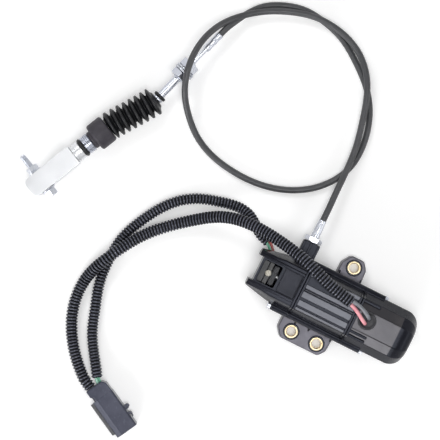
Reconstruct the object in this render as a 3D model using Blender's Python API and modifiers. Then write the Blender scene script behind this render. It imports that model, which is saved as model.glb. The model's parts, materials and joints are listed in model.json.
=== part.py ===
# Throttle motor of a diesel engine: a geared motor with a position sensor works a push-pull
# cable that ends in a bellows and a yoke, and a two-tube harness ends in one connector.
# Metres, +Z up. The motor's axis runs along X, the mounting lugs stand on z = 0, the cable
# leaves towards +Y, and the middle of the three housing shells stands over the origin.

import math

import bmesh
import bpy
import numpy as np
from mathutils import Matrix, Vector

# Clearances
GAP = 0.0003
RUNNING_GAP = 0.00035

# Motor axis, gears and motor
AXIS_Z = 0.028
MODULE = 0.0008
SUN_TEETH = 9
PLANET_TEETH = 18
PLANETS = 3
BACKLASH = 0.00036
ADDENDUM = 0.75
DEDENDUM = 1.15
RING_WALL = 0.0015
GEAR_WIDTH = 0.0110
CARRIER_THICKNESS = 0.0030
PLANET_PIN_R = 0.0017
OUTPUT_SHAFT_R = 0.0040
SHAFT_TIP_R = 0.0020
ROTOR_SHAFT_R = 0.0020
BEARING_WALL = 0.0022
BEARING_WIDTH = 0.0040
CAN_WALL = 0.0014
MAGNET_THICKNESS = 0.0044
MAGNET_LENGTH = 0.0340
AIR_GAP = 0.0006
ARMATURE_LENGTH = 0.0300
ARMATURE_SLOTS = 8
COMMUTATOR_R = 0.0060
COMMUTATOR_LENGTH = 0.0090
BRUSH_SIDE = 0.0042
BRUSH_LENGTH = 0.0072
END_PLATE_THICKNESS = 0.0045
END_PLATE_INSET = 0.0005
END_PLATE_COLLAR = 0.0020

# Housing shells
SEAM_1_X = -0.0321
HEAD_LENGTH = 0.0488
GEARBOX_LENGTH = 0.0544
CAP_LENGTH = 0.0586
TOP_WALL = 0.0024
SIDE_WALL = 0.0028
PANEL_HALF = 0.0190
FLOOR_Z = 0.0006
PARTITION = 0.0036
BAND_WIDTH = 0.0024
BAND_RISE = 0.0020
RAIL_OUT = 0.0292
RAIL_HALF_HEIGHT = 0.0085
RAIL_GROOVE = 0.0012
CAP_RAIL_LENGTH = 0.0200
HEAD_TOWER_LENGTH = 0.0175
CAP_WALL = 0.00638
CAP_TOP_HALF = 0.0104
CAP_SHOULDER_HALF = 0.0193
CAP_ROUND = 0.0125

# Drive head: sensor pocket, channel and drum chamber
TIP_HALF = 0.0185
CHANNEL_HALF = 0.0120
CHANNEL_DEPTH = 0.0050
TIP_OVERHANG = 0.0046
POCKET_HALF = 0.0108
POCKET_WALL = 0.0018
POCKET_LENGTH = 0.0185
FLANGE_HALF = 0.0170
LID_LENGTH = 0.0185
LID_THICKNESS = 0.0018

# Lugs and bushes
LUG_TIP_Y = 0.0495
LUG_HEIGHT = 0.0095
LUG_DRAFT = 0.0028
LUG_RIM = 0.0010
LUG_ROUND = 0.0055
HOLE_Y = 0.0400
HOLE_X = 0.0056
HOLE_SPACING = 0.0264
BUSH_R = 0.0063
BUSH_BORE_R = 0.00445
BUSH_HEIGHT = 0.0112

# Cable drum and outlet
OUTLET_X = -0.0409
DRUM_R = 0.0140
DRUM_FLANGE = 0.0020
DRUM_WIDTH = 0.0060
CORE_R = 0.0010
BOSS_WIDTH = 0.0170
BOSS_TIP_Y = 0.0439
BOSS_BORE_R = 0.0034
OUTLET_NUT_FLATS = 0.0150
OUTLET_NUT_LENGTH = 0.0050
OUTLET_FERRULE_LENGTH = 0.0174
OUTLET_FERRULE_R = 0.0042
FERRULE_TIP_R = 0.0037
CONDUIT_R = 0.00305
CONDUIT_FIT = 0.0002
CONDUIT_SEAT = 0.0090

# Screws, grommet and sensor
SCREW_R = 0.0020
SCREW_HEAD_R = 0.0035
SCREW_HEAD_HEIGHT = 0.0026
WASHER_R = 0.0040
WASHER_THICKNESS = 0.0010
SCREW_Y = 0.0262
SCREW_DEPTH = 0.0120
GROMMET_FROM_SEAM = 0.0121
GROMMET_Y = 0.0015
GROMMET_R = 0.0086
GROMMET_PLUG_R = 0.0060
GROMMET_RISE = 0.0018
GROMMET_DEPTH = 0.0026
LEAD_HOLE_R = 0.0020
MOTOR_LEAD_R = 0.0015
SENSOR_LEAD_R = 0.0011
SENSOR_LEAD_SPACING = 0.0032
SENSOR_R = 0.0094
SENSOR_LENGTH = 0.0110
SENSOR_FLAT_Z = 0.0072
CLAMP_WIDTH = 0.0042
CLAMP_THICKNESS = 0.0010
SENSOR_SCREW_R = 0.0031

# Cable end: hub, bellows and yoke
END_Z = 0.0143
HUB_START = (-0.2059, 0.1807)
HUB_ANGLE = math.radians(-107.9)
YOKE_ANGLE = math.radians(-114.8)
SEAL_TO_CAP = (-0.0303, -0.0478)
END_FERRULE_LENGTH = 0.0200
END_FERRULE_R = 0.0037
HUB_NECK_R = 0.0024
HUB_NECK_LENGTH = 0.0180
HUB_THREAD_R = 0.0050
LOCK_NUT_FLATS = 0.0170
LOCK_NUT_LENGTHS = (0.0077, 0.0063)
LOCK_WASHER_R = 0.0098
LOCK_WASHER_THICKNESS = 0.0020
SUPPORT_R = 0.00375
SUPPORT_BORE_R = 0.0022
SUPPORT_LENGTH = 0.0245
SEAL_R = 0.00635
SEAL_WIDTH = 0.0030
ROD_R = 0.0014
BOOT_PLEATS = 8
BOOT_PITCH = 0.0063
BOOT_TIP_R = 0.0140
BOOT_VALLEY_R = 0.0088
BOOT_NECK_WALL = 0.0006
BOOT_NECK_LENGTH = 0.0032
BOOT_WALL = 0.0011
CLAMP_RING_R = 0.0055
CLAMP_RING_WIDTH = 0.0016
CAP_BELL_R = 0.0137
CAP_BELL_LENGTH = 0.0170
CAP_LIP_R = 0.00885
CAP_LIP_LENGTH = 0.0035
END_RING_R = 0.0095
END_RING_LENGTH = 0.0077
O_RING_LENGTH = 0.0033
COLLAR_R = 0.0090
COLLAR_LENGTH = 0.0087
YOKE_LENGTH = 0.0530
YOKE_WIDTH = 0.0195
YOKE_HEIGHT = 0.0180
YOKE_EAR = 0.0040
YOKE_SLOT_LENGTH = 0.0380
YOKE_STUD_R = 0.0035
BOLT_R = 0.0030
BOLT_FROM_END = 0.0140
BOLT_STUD = 0.0135
FLANGE_NUT_R = 0.0070
FLANGE_NUT_LENGTH = 0.0066
FLANGE_NUT_FLATS = 0.0100

# Harness
TUBE_R = 0.00495
CONNECTOR_START = (-0.1643, -0.1685)
CONNECTOR_ANGLE = math.radians(-27.8)
CONNECTOR_Z = 0.0088
CONNECTOR_LENGTH = 0.0528
CONNECTOR_REAR_WIDTH = 0.0198
CONNECTOR_WIDTH = 0.0222
CONNECTOR_REAR_HEIGHT = 0.0140
CONNECTOR_HEIGHT = 0.0164
CONNECTOR_WALL = 0.0018
SOCKET_DEPTH = 0.0180
BLOCK_DEPTH = 0.0070
TERMINAL_ROWS = 2
TERMINAL_COLUMNS = 3
TERMINAL_PITCH = 0.0042
TERMINAL_SIDE = 0.0022
RAIL_LENGTH = 0.0290
RAIL_STAND = 0.0030
RAIL_HEIGHT = 0.0070
LATCH_LENGTH = 0.0036
LATCH_STAND = 0.0016

# Worked out from the sizes above
RING_TEETH = SUN_TEETH + 2 * PLANET_TEETH
CARRIER_R = MODULE * (SUN_TEETH + PLANET_TEETH) / 2
RING_R = MODULE * (RING_TEETH / 2 + DEDENDUM) + RING_WALL
BORE_R = RING_R + GAP
CAN_R = BORE_R - GAP
CAP_R = CAN_R + CAP_WALL
HEAD_X = SEAM_1_X - HEAD_LENGTH
SEAM_2_X = SEAM_1_X + GEARBOX_LENGTH
CAP_END_X = SEAM_2_X + CAP_LENGTH
GROMMET_X = SEAM_2_X + GROMMET_FROM_SEAM
PANEL_TOP = BORE_R + TOP_WALL
BODY_HALF = BORE_R + SIDE_WALL
BODY_BOTTOM = FLOOR_Z - AXIS_Z
RAIL_IN = BODY_HALF - 0.0010
EXIT_Z = AXIS_Z - DRUM_R
CHAMBER_R = DRUM_R + DRUM_FLANGE + 0.0015
CHAMBER_X = OUTLET_X - DRUM_WIDTH / 2 - 0.0030
POCKET_END_X = HEAD_X + TIP_OVERHANG + POCKET_WALL + POCKET_LENGTH
CHANNEL_Z = PANEL_TOP - CHANNEL_DEPTH
CARRIER_X = SEAM_1_X + PARTITION + RUNNING_GAP
GEAR_X = CARRIER_X + CARRIER_THICKNESS + RUNNING_GAP
CAN_X = GEAR_X + GEAR_WIDTH + 0.0035
CAN_END_X = CAP_END_X - CAP_ROUND - 0.0010
MAGNET_X = CAN_X + 0.0080
ARMATURE_R = CAN_R - CAN_WALL - GAP - MAGNET_THICKNESS - AIR_GAP
COMMUTATOR_X = MAGNET_X + MAGNET_LENGTH + 0.0030


def clear_scene():
    for old in list(bpy.data.objects):
        bpy.data.objects.remove(old)


def collection(name):
    group = bpy.data.collections.new(name)
    bpy.context.scene.collection.children.link(group)
    return group


clear_scene()
PART = collection("throttle_motor")
HELPERS = collection("cutters")


def material(name, color, roughness, metallic=0.0):
    shade = bpy.data.materials.new(name)
    shade.use_nodes = True
    surface = shade.node_tree.nodes["Principled BSDF"]
    surface.inputs["Base Color"].default_value = (*color, 1.0)
    surface.inputs["Roughness"].default_value = roughness
    surface.inputs["Metallic"].default_value = metallic
    return shade


BLACK_PLASTIC = material("black_plastic", (0.020, 0.021, 0.026), 0.35)
SLATE_PLASTIC = material("slate_plastic", (0.045, 0.046, 0.060), 0.45)
GREY_PLASTIC = material("grey_plastic", (0.16, 0.17, 0.18), 0.50)
BLACK_RUBBER = material("black_rubber", (0.015, 0.015, 0.018), 0.70)
CONDUIT_JACKET = material("conduit_jacket", (0.055, 0.056, 0.062), 0.55)
ZINC = material("zinc", (0.78, 0.80, 0.84), 0.28, 1.0)
STEEL = material("steel", (0.55, 0.56, 0.58), 0.35, 1.0)
BRASS = material("brass", (0.83, 0.70, 0.45), 0.30, 1.0)
COPPER = material("copper", (0.72, 0.38, 0.22), 0.35, 1.0)
MAGNET = material("magnet", (0.07, 0.07, 0.07), 0.60)
NYLON = material("nylon", (0.75, 0.73, 0.66), 0.50)
PINK_LEAD = material("pink_lead", (0.82, 0.34, 0.38), 0.50)
GREY_LEAD = material("grey_lead", (0.20, 0.21, 0.24), 0.50)
GREEN_LEAD = material("green_lead", (0.15, 0.52, 0.28), 0.50)
RED_LEAD = material("red_lead", (0.50, 0.10, 0.08), 0.50)


def empty(name, place, matrix):
    """An axis or local frame that pieces are placed on."""
    holder = bpy.data.objects.new(name, None)
    holder.empty_display_size = 0.01
    holder.matrix_world = Matrix.Translation(place) @ matrix.to_4x4()
    PART.objects.link(holder)
    return holder


def heading(angle):
    return Vector((math.cos(angle), math.sin(angle), 0.0))


def along(direction):
    """Rotation that turns local Z to the direction, with local Y kept level."""
    z = Vector(direction).normalized()
    y = Vector((0.0, 0.0, 1.0)).cross(z).normalized()
    return Matrix((y.cross(z), y, z)).transposed()


def finish(obj, name, shade, parent, smooth=30.0):
    obj.name = name
    obj.data.materials.clear()
    obj.data.materials.append(shade)
    obj.data.shade_smooth()
    obj.data.set_sharp_from_angle(angle=math.radians(smooth))
    if parent:
        obj.parent = parent
    return obj


def helper(obj, parent=None):
    """Takes an object out of the part, as a cutter or a piece to be joined."""
    PART.objects.unlink(obj)
    HELPERS.objects.link(obj)
    obj.hide_render = True
    obj.display_type = "WIRE"
    if parent:
        obj.parent = parent
    return obj


def combine(obj, other, operation):
    change = obj.modifiers.new(operation.lower(), "BOOLEAN")
    change.operation = operation
    change.solver = "EXACT"
    change.object = other


def cut(obj, *cutters):
    for cutter in cutters:
        combine(obj, cutter, "DIFFERENCE")


def join(obj, *others):
    for other in others:
        combine(obj, other, "UNION")


def mesh_object(name, mesh):
    obj = bpy.data.objects.new(name, mesh)
    PART.objects.link(obj)
    return obj


def evaluated_mesh(obj):
    bpy.context.view_layer.update()
    graph = bpy.context.evaluated_depsgraph_get()
    mesh = bpy.data.meshes.new_from_object(obj.evaluated_get(graph))
    shape = bmesh.new()
    shape.from_mesh(mesh)
    bmesh.ops.remove_doubles(shape, verts=shape.verts, dist=1e-6)
    bmesh.ops.recalc_face_normals(shape, faces=shape.faces)
    shape.to_mesh(mesh)
    shape.free()
    return mesh


def prism(outline, low, high, holes=()):
    """A flat outline in local XY, extruded from low to high along local Z."""
    curve = bpy.data.curves.new("outline", "CURVE")
    curve.dimensions = "2D"
    curve.fill_mode = "BOTH"
    curve.extrude = (high - low) / 2
    for loop in (outline, *holes):
        spline = curve.splines.new("POLY")
        spline.points.add(len(loop) - 1)
        for point, (x, y) in zip(spline.points, loop):
            point.co = (x, y, 0.0, 1.0)
        spline.use_cyclic_u = True
    flat = mesh_object("outline", curve)
    mesh = evaluated_mesh(flat)
    mesh.transform(Matrix.Translation((0.0, 0.0, (low + high) / 2)))
    bpy.data.objects.remove(flat)
    return mesh_object("prism", mesh)


def box(x, y, z):
    """A box from its three (low, high) ranges."""
    shape = bmesh.new()
    bmesh.ops.create_cube(shape, size=1.0)
    mesh = bpy.data.meshes.new("box")
    shape.to_mesh(mesh)
    shape.free()
    size = Matrix.Diagonal((x[1] - x[0], y[1] - y[0], z[1] - z[0], 1.0))
    middle = Vector((x[0] + x[1], y[0] + y[1], z[0] + z[1])) / 2
    mesh.transform(Matrix.Translation(middle) @ size)
    return mesh_object("box", mesh)


def turned(profile, segments=24):
    """A profile of (radius, height) points turned about local Z. It is closed round the
    piece, or runs from the axis back to the axis."""
    on_axis = profile[0][0] == 0.0
    area = sum(a[0] * b[1] - b[0] * a[1] for a, b in zip(profile, profile[1:] + profile[:1]))
    points = profile[::-1] if area > 0 else profile
    edges = [(i, i + 1) for i in range(len(points) - 1)]
    if not on_axis:
        edges.append((len(points) - 1, 0))
    mesh = bpy.data.meshes.new("profile")
    mesh.from_pydata([(r, 0.0, z) for r, z in points], edges, [])
    obj = mesh_object("turned", mesh)
    screw = obj.modifiers.new("turn", "SCREW")
    screw.steps = segments
    screw.render_steps = segments
    screw.use_merge_vertices = True
    screw.merge_threshold = 0.00001
    return obj


def rod(radius, low, high, segments=16):
    return turned([(0.0, low), (radius, low), (radius, high), (0.0, high)], segments)


def ring(inner, outer, low, high, segments=20, chamfer=0.0):
    c = chamfer
    return turned(
        [
            (inner, low),
            (outer - c, low),
            (outer, low + c),
            (outer, high - c),
            (outer - c, high),
            (inner, high),
        ]
        if c
        else [(inner, low), (outer, low), (outer, high), (inner, high)],
        segments,
    )


def rounded(corners, radius, steps=3):
    """An outline with every corner rounded."""
    points = []
    count = len(corners)
    for i, corner in enumerate(corners):
        at = Vector(corner)
        before = (Vector(corners[i - 1]) - at).normalized()
        after = (Vector(corners[(i + 1) % count]) - at).normalized()
        half = before.angle(after) / 2
        reach = radius / math.tan(half)
        start, end = at + before * reach, at + after * reach
        middle = at + (before + after).normalized() * (radius / math.sin(half))
        for k in range(steps + 1):
            spoke = (start - middle).slerp(end - middle, k / steps)
            points.append(tuple(middle + spoke.normalized() * radius))
    return points


def mirrored(half):
    """A closed outline from its right half, listed from the top to the bottom."""
    return half + [(-y, z) for y, z in reversed(half) if y > 1e-9]


def loft(sections):
    """A body through outlines of equal length, given as lists of 3-D points."""
    shape = bmesh.new()
    loops = [[shape.verts.new(point) for point in section] for section in sections]
    sides = []
    for low, high in zip(loops, loops[1:]):
        for i in range(len(low)):
            sides.append(shape.faces.new((low[i - 1], low[i], high[i], high[i - 1])))
    bmesh.ops.connect_verts_nonplanar(shape, angle_limit=0.002, faces=sides)
    shape.faces.new(loops[0])
    shape.faces.new(loops[-1])
    bmesh.ops.recalc_face_normals(shape, faces=shape.faces)
    mesh = bpy.data.meshes.new("loft")
    shape.to_mesh(mesh)
    shape.free()
    return mesh_object("loft", mesh)


def across(outline, x, scale=1.0):
    """A (y, z) outline about the motor's axis, set up as a section at x."""
    return [(x, y * scale, AXIS_Z + z * scale) for y, z in outline]


def smooth_route(points, spacing):
    """Points at even spacing on the natural cubic spline through the route's points."""
    p = np.array(points, float)
    t = np.concatenate([[0.0], np.cumsum(np.linalg.norm(np.diff(p, axis=0), axis=1))])
    h = np.diff(t)
    n = len(p)
    system = np.eye(n)
    right = np.zeros((n, 3))
    for i in range(1, n - 1):
        system[i, i - 1 : i + 2] = h[i - 1], 2 * (h[i - 1] + h[i]), h[i]
        right[i] = 6 * ((p[i + 1] - p[i]) / h[i] - (p[i] - p[i - 1]) / h[i - 1])
    bend = np.linalg.solve(system, right)
    at = np.linspace(0.0, t[-1], 2000)
    k = np.clip(np.searchsorted(t, at) - 1, 0, n - 2)
    a = ((t[k + 1] - at) / h[k])[:, None]
    b = 1 - a
    fine = a * p[k] + b * p[k + 1]
    fine += ((a**3 - a) * bend[k] + (b**3 - b) * bend[k + 1]) * (h[k] ** 2)[:, None] / 6
    run = np.concatenate([[0.0], np.cumsum(np.linalg.norm(np.diff(fine, axis=0), axis=1))])
    even = np.linspace(0.0, run[-1], max(4, round(run[-1] / spacing) + 1))
    return [Vector(np.array([np.interp(s, run, fine[:, i]) for i in range(3)])) for s in even]


def tube(points, radius, resolution=2):
    """A round cord along the points, made a closed mesh."""
    curve = bpy.data.curves.new("route", "CURVE")
    curve.dimensions = "3D"
    curve.bevel_depth = radius
    curve.bevel_resolution = resolution
    curve.use_fill_caps = True
    spline = curve.splines.new("POLY")
    spline.points.add(len(points) - 1)
    for point, place in zip(spline.points, points):
        point.co = (*place, 1.0)
    cord = mesh_object("route", curve)
    mesh = evaluated_mesh(cord)
    bpy.data.objects.remove(cord)
    return mesh_object("tube", mesh)


MOTOR_AXIS = empty("motor_axis", (0.0, 0.0, AXIS_Z), along((1.0, 0.0, 0.0)))
OUTLET_AXIS = empty("outlet_axis", (OUTLET_X, 0.0, EXIT_Z), along((0.0, 1.0, 0.0)))


def body_half(top_half, top, side, bottom_half):
    """Right half of a shell's section: panel, sloped shoulder, side and flat floor."""
    return [
        (top_half, top),
        (side, top * 0.45),
        (side, BODY_BOTTOM * 0.55),
        (bottom_half, BODY_BOTTOM),
    ]


def rail_outline(side):
    """Section of the long screw rail, in (y, z), with a groove along its top."""
    chamfer = 0.0018
    groove_y = (RAIL_IN + RAIL_OUT) / 2 + 0.0004
    top = RAIL_HALF_HEIGHT
    half = [
        (RAIL_IN - 0.0030, -top),
        (RAIL_OUT - chamfer, -top),
        (RAIL_OUT, -top + chamfer),
        (RAIL_OUT, top - chamfer),
        (RAIL_OUT - chamfer, top),
        (groove_y + 0.0006, top),
        (groove_y, top - RAIL_GROOVE),
        (groove_y - 0.0006, top),
        (RAIL_IN - 0.0030, top),
    ]
    return [(side * y, z) for y, z in half]


def rails(low, high):
    """The two side rails between two stations along the axis."""
    made = []
    for side in (-1, 1):
        section = rail_outline(side)
        made.append(helper(loft([across(section, low), across(section, high)])))
    return made


def motor_bore(radius, low, high, segments=40):
    """Each bore is turned by its own small angle, so no two share an edge's direction."""
    bore = helper(rod(radius, low, high, segments), MOTOR_AXIS)
    bore.rotation_euler.z = math.radians(segments / 10)
    return bore


def screw_bores(low, high, radius=SCREW_R + GAP, segments=12):
    made = []
    for side in (-1, 1):
        bore = helper(rod(radius, low, high, segments), MOTOR_AXIS)
        bore.location.y = side * SCREW_Y
        made.append(bore)
    return made


def screw_channels(low, high):
    """Half-round channels beside the body that let a driver reach the screw heads."""
    return screw_bores(low, high, WASHER_R + 0.0004, 20)


def drive_head():
    """Front shell: two long flanges over an open sensor pocket, and the drum chamber."""
    tip = mirrored(body_half(0.0150, PANEL_TOP - 0.0030, TIP_HALF, TIP_HALF - 0.0020))
    full = mirrored(body_half(FLANGE_HALF + 0.0010, PANEL_TOP, BODY_HALF, BODY_HALF - 0.0030))
    end = SEAM_1_X - GAP
    shell = loft([across(tip, HEAD_X), across(full, SEAM_1_X - HEAD_LENGTH / 2), across(full, end)])
    join(shell, *rails(SEAM_1_X - HEAD_TOWER_LENGTH, end))
    band = mirrored(body_half(PANEL_HALF, PANEL_TOP + BAND_RISE, BODY_HALF + 0.0004, BODY_HALF))
    join(shell, helper(loft([across(band, end - BAND_WIDTH), across(band, end)])))
    half_boss = BOSS_WIDTH / 2
    boss = rounded(
        [(-half_boss, -half_boss), (half_boss, -half_boss), (half_boss, half_boss), (-half_boss, half_boss)],
        0.0016,
        2,
    )
    join(shell, helper(prism(boss, CHAMBER_R - 0.0010, BOSS_TIP_Y), OUTLET_AXIS))

    high = AXIS_Z + PANEL_TOP + 0.0050
    lid_start = SEAM_1_X - BAND_WIDTH - LID_LENGTH - 2 * GAP
    far = HEAD_X - 0.0010
    channel = box(
        (far, SEAM_1_X - BAND_WIDTH - GAP - 0.0004),
        (-CHANNEL_HALF, CHANNEL_HALF),
        (AXIS_Z + CHANNEL_Z, high),
    )
    notch = box((far, HEAD_X + TIP_OVERHANG), (-CHANNEL_HALF, CHANNEL_HALF), (-0.0010, high))
    pocket = box(
        (HEAD_X + TIP_OVERHANG + POCKET_WALL, POCKET_END_X),
        (-POCKET_HALF, POCKET_HALF),
        (AXIS_Z - SENSOR_R - 0.0022, high),
    )
    window = box(
        (lid_start + 0.0025, SEAM_1_X - BAND_WIDTH - 0.0030),
        (-CHANNEL_HALF + 0.0025, CHANNEL_HALF - 0.0025),
        (AXIS_Z, high),
    )
    leads = box(
        (HEAD_X + TIP_OVERHANG + 0.0028, HEAD_X + TIP_OVERHANG + 0.0100),
        (POCKET_HALF - 0.0010, BODY_HALF),
        (AXIS_Z - 0.0052, AXIS_Z + 0.0046),
    )
    cut(shell, *(helper(part) for part in (channel, notch, pocket, window, leads)))
    cut(shell, motor_bore(CHAMBER_R, CHAMBER_X, SEAM_1_X + 0.0010))
    cut(shell, motor_bore(OUTPUT_SHAFT_R + RUNNING_GAP, POCKET_END_X - 0.0010, CHAMBER_X + 0.0010, 20))
    cut(shell, helper(rod(BOSS_BORE_R, 0.0, BOSS_TIP_Y + 0.0010, 16), OUTLET_AXIS))
    cut(shell, *screw_bores(SEAM_1_X - HEAD_TOWER_LENGTH - 0.0010, SEAM_1_X + 0.0010))
    cut(shell, *screw_channels(HEAD_X - 0.0010, SEAM_1_X - HEAD_TOWER_LENGTH))
    return finish(shell, "drive_head_housing", BLACK_PLASTIC, None)


def drum_cover():
    """Flat lid in the channel, over the drum."""
    low = SEAM_1_X - BAND_WIDTH - LID_LENGTH - GAP
    high = SEAM_1_X - BAND_WIDTH - GAP - 0.0007
    half = CHANNEL_HALF - GAP
    plate = rounded([(low, -half), (high, -half), (high, half), (low, half)], 0.0012, 2)
    seat = AXIS_Z + CHANNEL_Z + GAP
    lid = prism(plate, seat, seat + LID_THICKNESS)
    rib_half = half - 0.0035
    spigot = box((low + 0.0035, high - 0.0045), (-rib_half, rib_half), (seat - 0.0014, seat + 0.0005))
    join(lid, helper(spigot))
    return finish(lid, "drum_cover", BLACK_PLASTIC, None)


def ribbed_half_top(top):
    """Top edge of the gear housing's panel from -Y to +Y: raised ribs and grooves."""
    grooves = [(-0.0150, 0.0006), (-0.0076, 0.0010), (-0.0020, 0.0004), (0.0005, 0.0004)]
    grooves += [(0.0077, 0.0023), (0.0148, 0.0007)]
    edge = [(-PANEL_HALF + 0.0008, top)]
    for middle, half in grooves:
        deep = min(0.0018, 2 * half)
        edge += [(middle - half - 0.0003, top), (middle - half, top - deep)]
        edge += [(middle + half, top - deep), (middle + half + 0.0003, top)]
    return edge + [(PANEL_HALF - 0.0008, top)]


def lug(corners):
    """A drafted lug: its foot outline stands on z = 0 and draws in towards the top."""
    middle_x = (min(x for x, _ in corners) + max(x for x, _ in corners)) / 2
    crown = []
    for x, y in corners:
        inward = math.copysign(LUG_DRAFT, middle_x - x)
        back = -math.copysign(LUG_DRAFT * 0.4, y) if abs(y) > HOLE_Y + BUSH_R else 0.0
        crown.append((x + inward, y + back))
    foot, top = rounded(corners, LUG_ROUND), rounded(crown, LUG_ROUND * 0.9)
    return helper(loft([[(x, y, 0.0) for x, y in foot], [(x, y, LUG_HEIGHT) for x, y in top]]))


def bush_places():
    return [
        (HOLE_X - HOLE_SPACING, -HOLE_Y),
        (HOLE_X, -HOLE_Y),
        (HOLE_X, HOLE_Y),
    ]


def gear_housing():
    """Middle shell: round bore inside, ribbed panel on top, two rails and three lugs."""
    start, end = SEAM_1_X, SEAM_2_X - GAP
    section = mirrored(body_half(PANEL_HALF, PANEL_TOP - 0.0010, BODY_HALF, BODY_HALF - 0.0030))
    shell = loft([across(section, start), across(section, end)])
    crown = ribbed_half_top(PANEL_TOP + BAND_RISE * 0.6)
    crown += [(PANEL_HALF, PANEL_TOP - 0.0015), (-PANEL_HALF, PANEL_TOP - 0.0015)]
    inner = (start + BAND_WIDTH - 0.0002, end - BAND_WIDTH + 0.0002)
    join(shell, helper(loft([across(crown, inner[0]), across(crown, inner[1])])))
    band = mirrored(body_half(PANEL_HALF, PANEL_TOP + BAND_RISE, BODY_HALF + 0.0004, BODY_HALF))
    for low in (start, end - BAND_WIDTH):
        join(shell, helper(loft([across(band, low), across(band, low + BAND_WIDTH)])))
    join(shell, *rails(start, end))

    root = BODY_HALF - 0.0060
    left, right = HOLE_X - HOLE_SPACING - 0.0146, HOLE_X + 0.0132
    lower = [
        (left, -root),
        (left, -HOLE_Y - 0.0015),
        (left + 0.0065, -LUG_TIP_Y),
        (right - 0.0065, -LUG_TIP_Y),
        (right - 0.0012, -HOLE_Y - 0.0030),
        (right, -root),
    ]
    upper = [
        (HOLE_X - 0.0140, root),
        (HOLE_X - 0.0138, HOLE_Y + 0.0005),
        (HOLE_X - 0.0075, LUG_TIP_Y),
        (HOLE_X + 0.0062, LUG_TIP_Y),
        (HOLE_X + 0.0112, HOLE_Y + 0.0020),
        (HOLE_X + 0.0132, root),
    ]
    join(shell, lug(lower), lug(upper))
    clear = RAIL_OUT - 0.0015
    beside = box((start - 0.0200, start - 0.0001), (-clear, clear), (-0.0010, LUG_HEIGHT + 0.0010))
    cut(shell, helper(beside))
    for x, y in bush_places():
        rim = helper(rod(BUSH_R + 0.0016, LUG_HEIGHT - 0.0010, LUG_HEIGHT + LUG_RIM, 24))
        rim.location = (x, y, 0.0)
        hole = helper(rod(BUSH_R + GAP, -0.0010, LUG_HEIGHT + 0.0030, 24))
        hole.location = (x, y, 0.0)
        hole.rotation_euler.z = math.radians(5)
        join(shell, rim)
        cut(shell, hole)
    cut(shell, motor_bore(BORE_R, start + PARTITION, SEAM_2_X + 0.0010))
    cut(shell, motor_bore(OUTPUT_SHAFT_R + RUNNING_GAP, start - 0.0010, start + PARTITION + 0.0010, 24))
    cut(shell, *screw_bores(start - 0.0010, start + SCREW_DEPTH))
    cut(shell, *screw_bores(SEAM_2_X - SCREW_DEPTH, SEAM_2_X + 0.0010))
    return finish(shell, "gear_housing", BLACK_PLASTIC, None)


def cap_half():
    """Right half of the cap's faceted round section."""
    top = CAP_R * 0.925
    shoulder = CAP_R * 0.70
    return [
        (CAP_TOP_HALF, top),
        (CAP_SHOULDER_HALF, shoulder),
        (CAP_R, CAP_R * 0.20),
        (CAP_R, -CAP_R * 0.36),
        (CAP_SHOULDER_HALF, -shoulder),
        (CAP_TOP_HALF, -top),
    ]


def motor_cap():
    """Rear shell: a faceted cup with a rounded end and two screw towers."""
    section = mirrored(cap_half())
    straight = CAP_END_X - CAP_ROUND
    stations = [(SEAM_2_X, 1.0), (straight, 1.0)]
    for k in (1, 2, 3, 4, 5):
        turn = math.radians(15 * k)
        stations.append((straight + CAP_ROUND * math.sin(turn), 1 - 0.42 * (1 - math.cos(turn))))
    stations.append((CAP_END_X, 0.62))
    shell = loft([across(section, x, scale) for x, scale in stations])
    band = mirrored(body_half(PANEL_HALF, PANEL_TOP + BAND_RISE, BODY_HALF + 0.0004, BODY_HALF))
    join(shell, helper(loft([across(band, SEAM_2_X), across(band, SEAM_2_X + BAND_WIDTH)])))
    join(shell, *rails(SEAM_2_X, SEAM_2_X + CAP_RAIL_LENGTH))
    ribs = [(-0.0190, -0.0160), (-0.0148, -0.0118), (0.0156, 0.0190)]
    for low, high in ribs:
        rib = box(
            (SEAM_2_X, SEAM_2_X + CAP_RAIL_LENGTH - 0.0008),
            (low, high),
            (AXIS_Z + CAP_R * 0.60, AXIS_Z + PANEL_TOP),
        )
        join(shell, helper(rib))
    cut(shell, motor_bore(CAN_R + 0.0006, SEAM_2_X - 0.0010, CAN_END_X + 0.0008))
    plug = helper(rod(GROMMET_PLUG_R + GAP, 0.0, 0.0600, 20))
    plug.location = (GROMMET_X, GROMMET_Y, AXIS_Z)
    cut(shell, plug)
    cut(shell, *screw_bores(SEAM_2_X - 0.0010, SEAM_2_X + CAP_RAIL_LENGTH + 0.0010))
    cut(shell, *screw_channels(SEAM_2_X + CAP_RAIL_LENGTH, CAP_END_X + 0.0010))
    return finish(shell, "motor_cap", BLACK_PLASTIC, None)


def mounting_bushes():
    for number, (x, y) in enumerate(bush_places(), 1):
        bush = finish(
            ring(BUSH_BORE_R, BUSH_R, 0.0, BUSH_HEIGHT, 24, 0.0005), f"mounting_bush_{number}", BRASS, None
        )
        bush.location = (x, y, 0.0)


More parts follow.
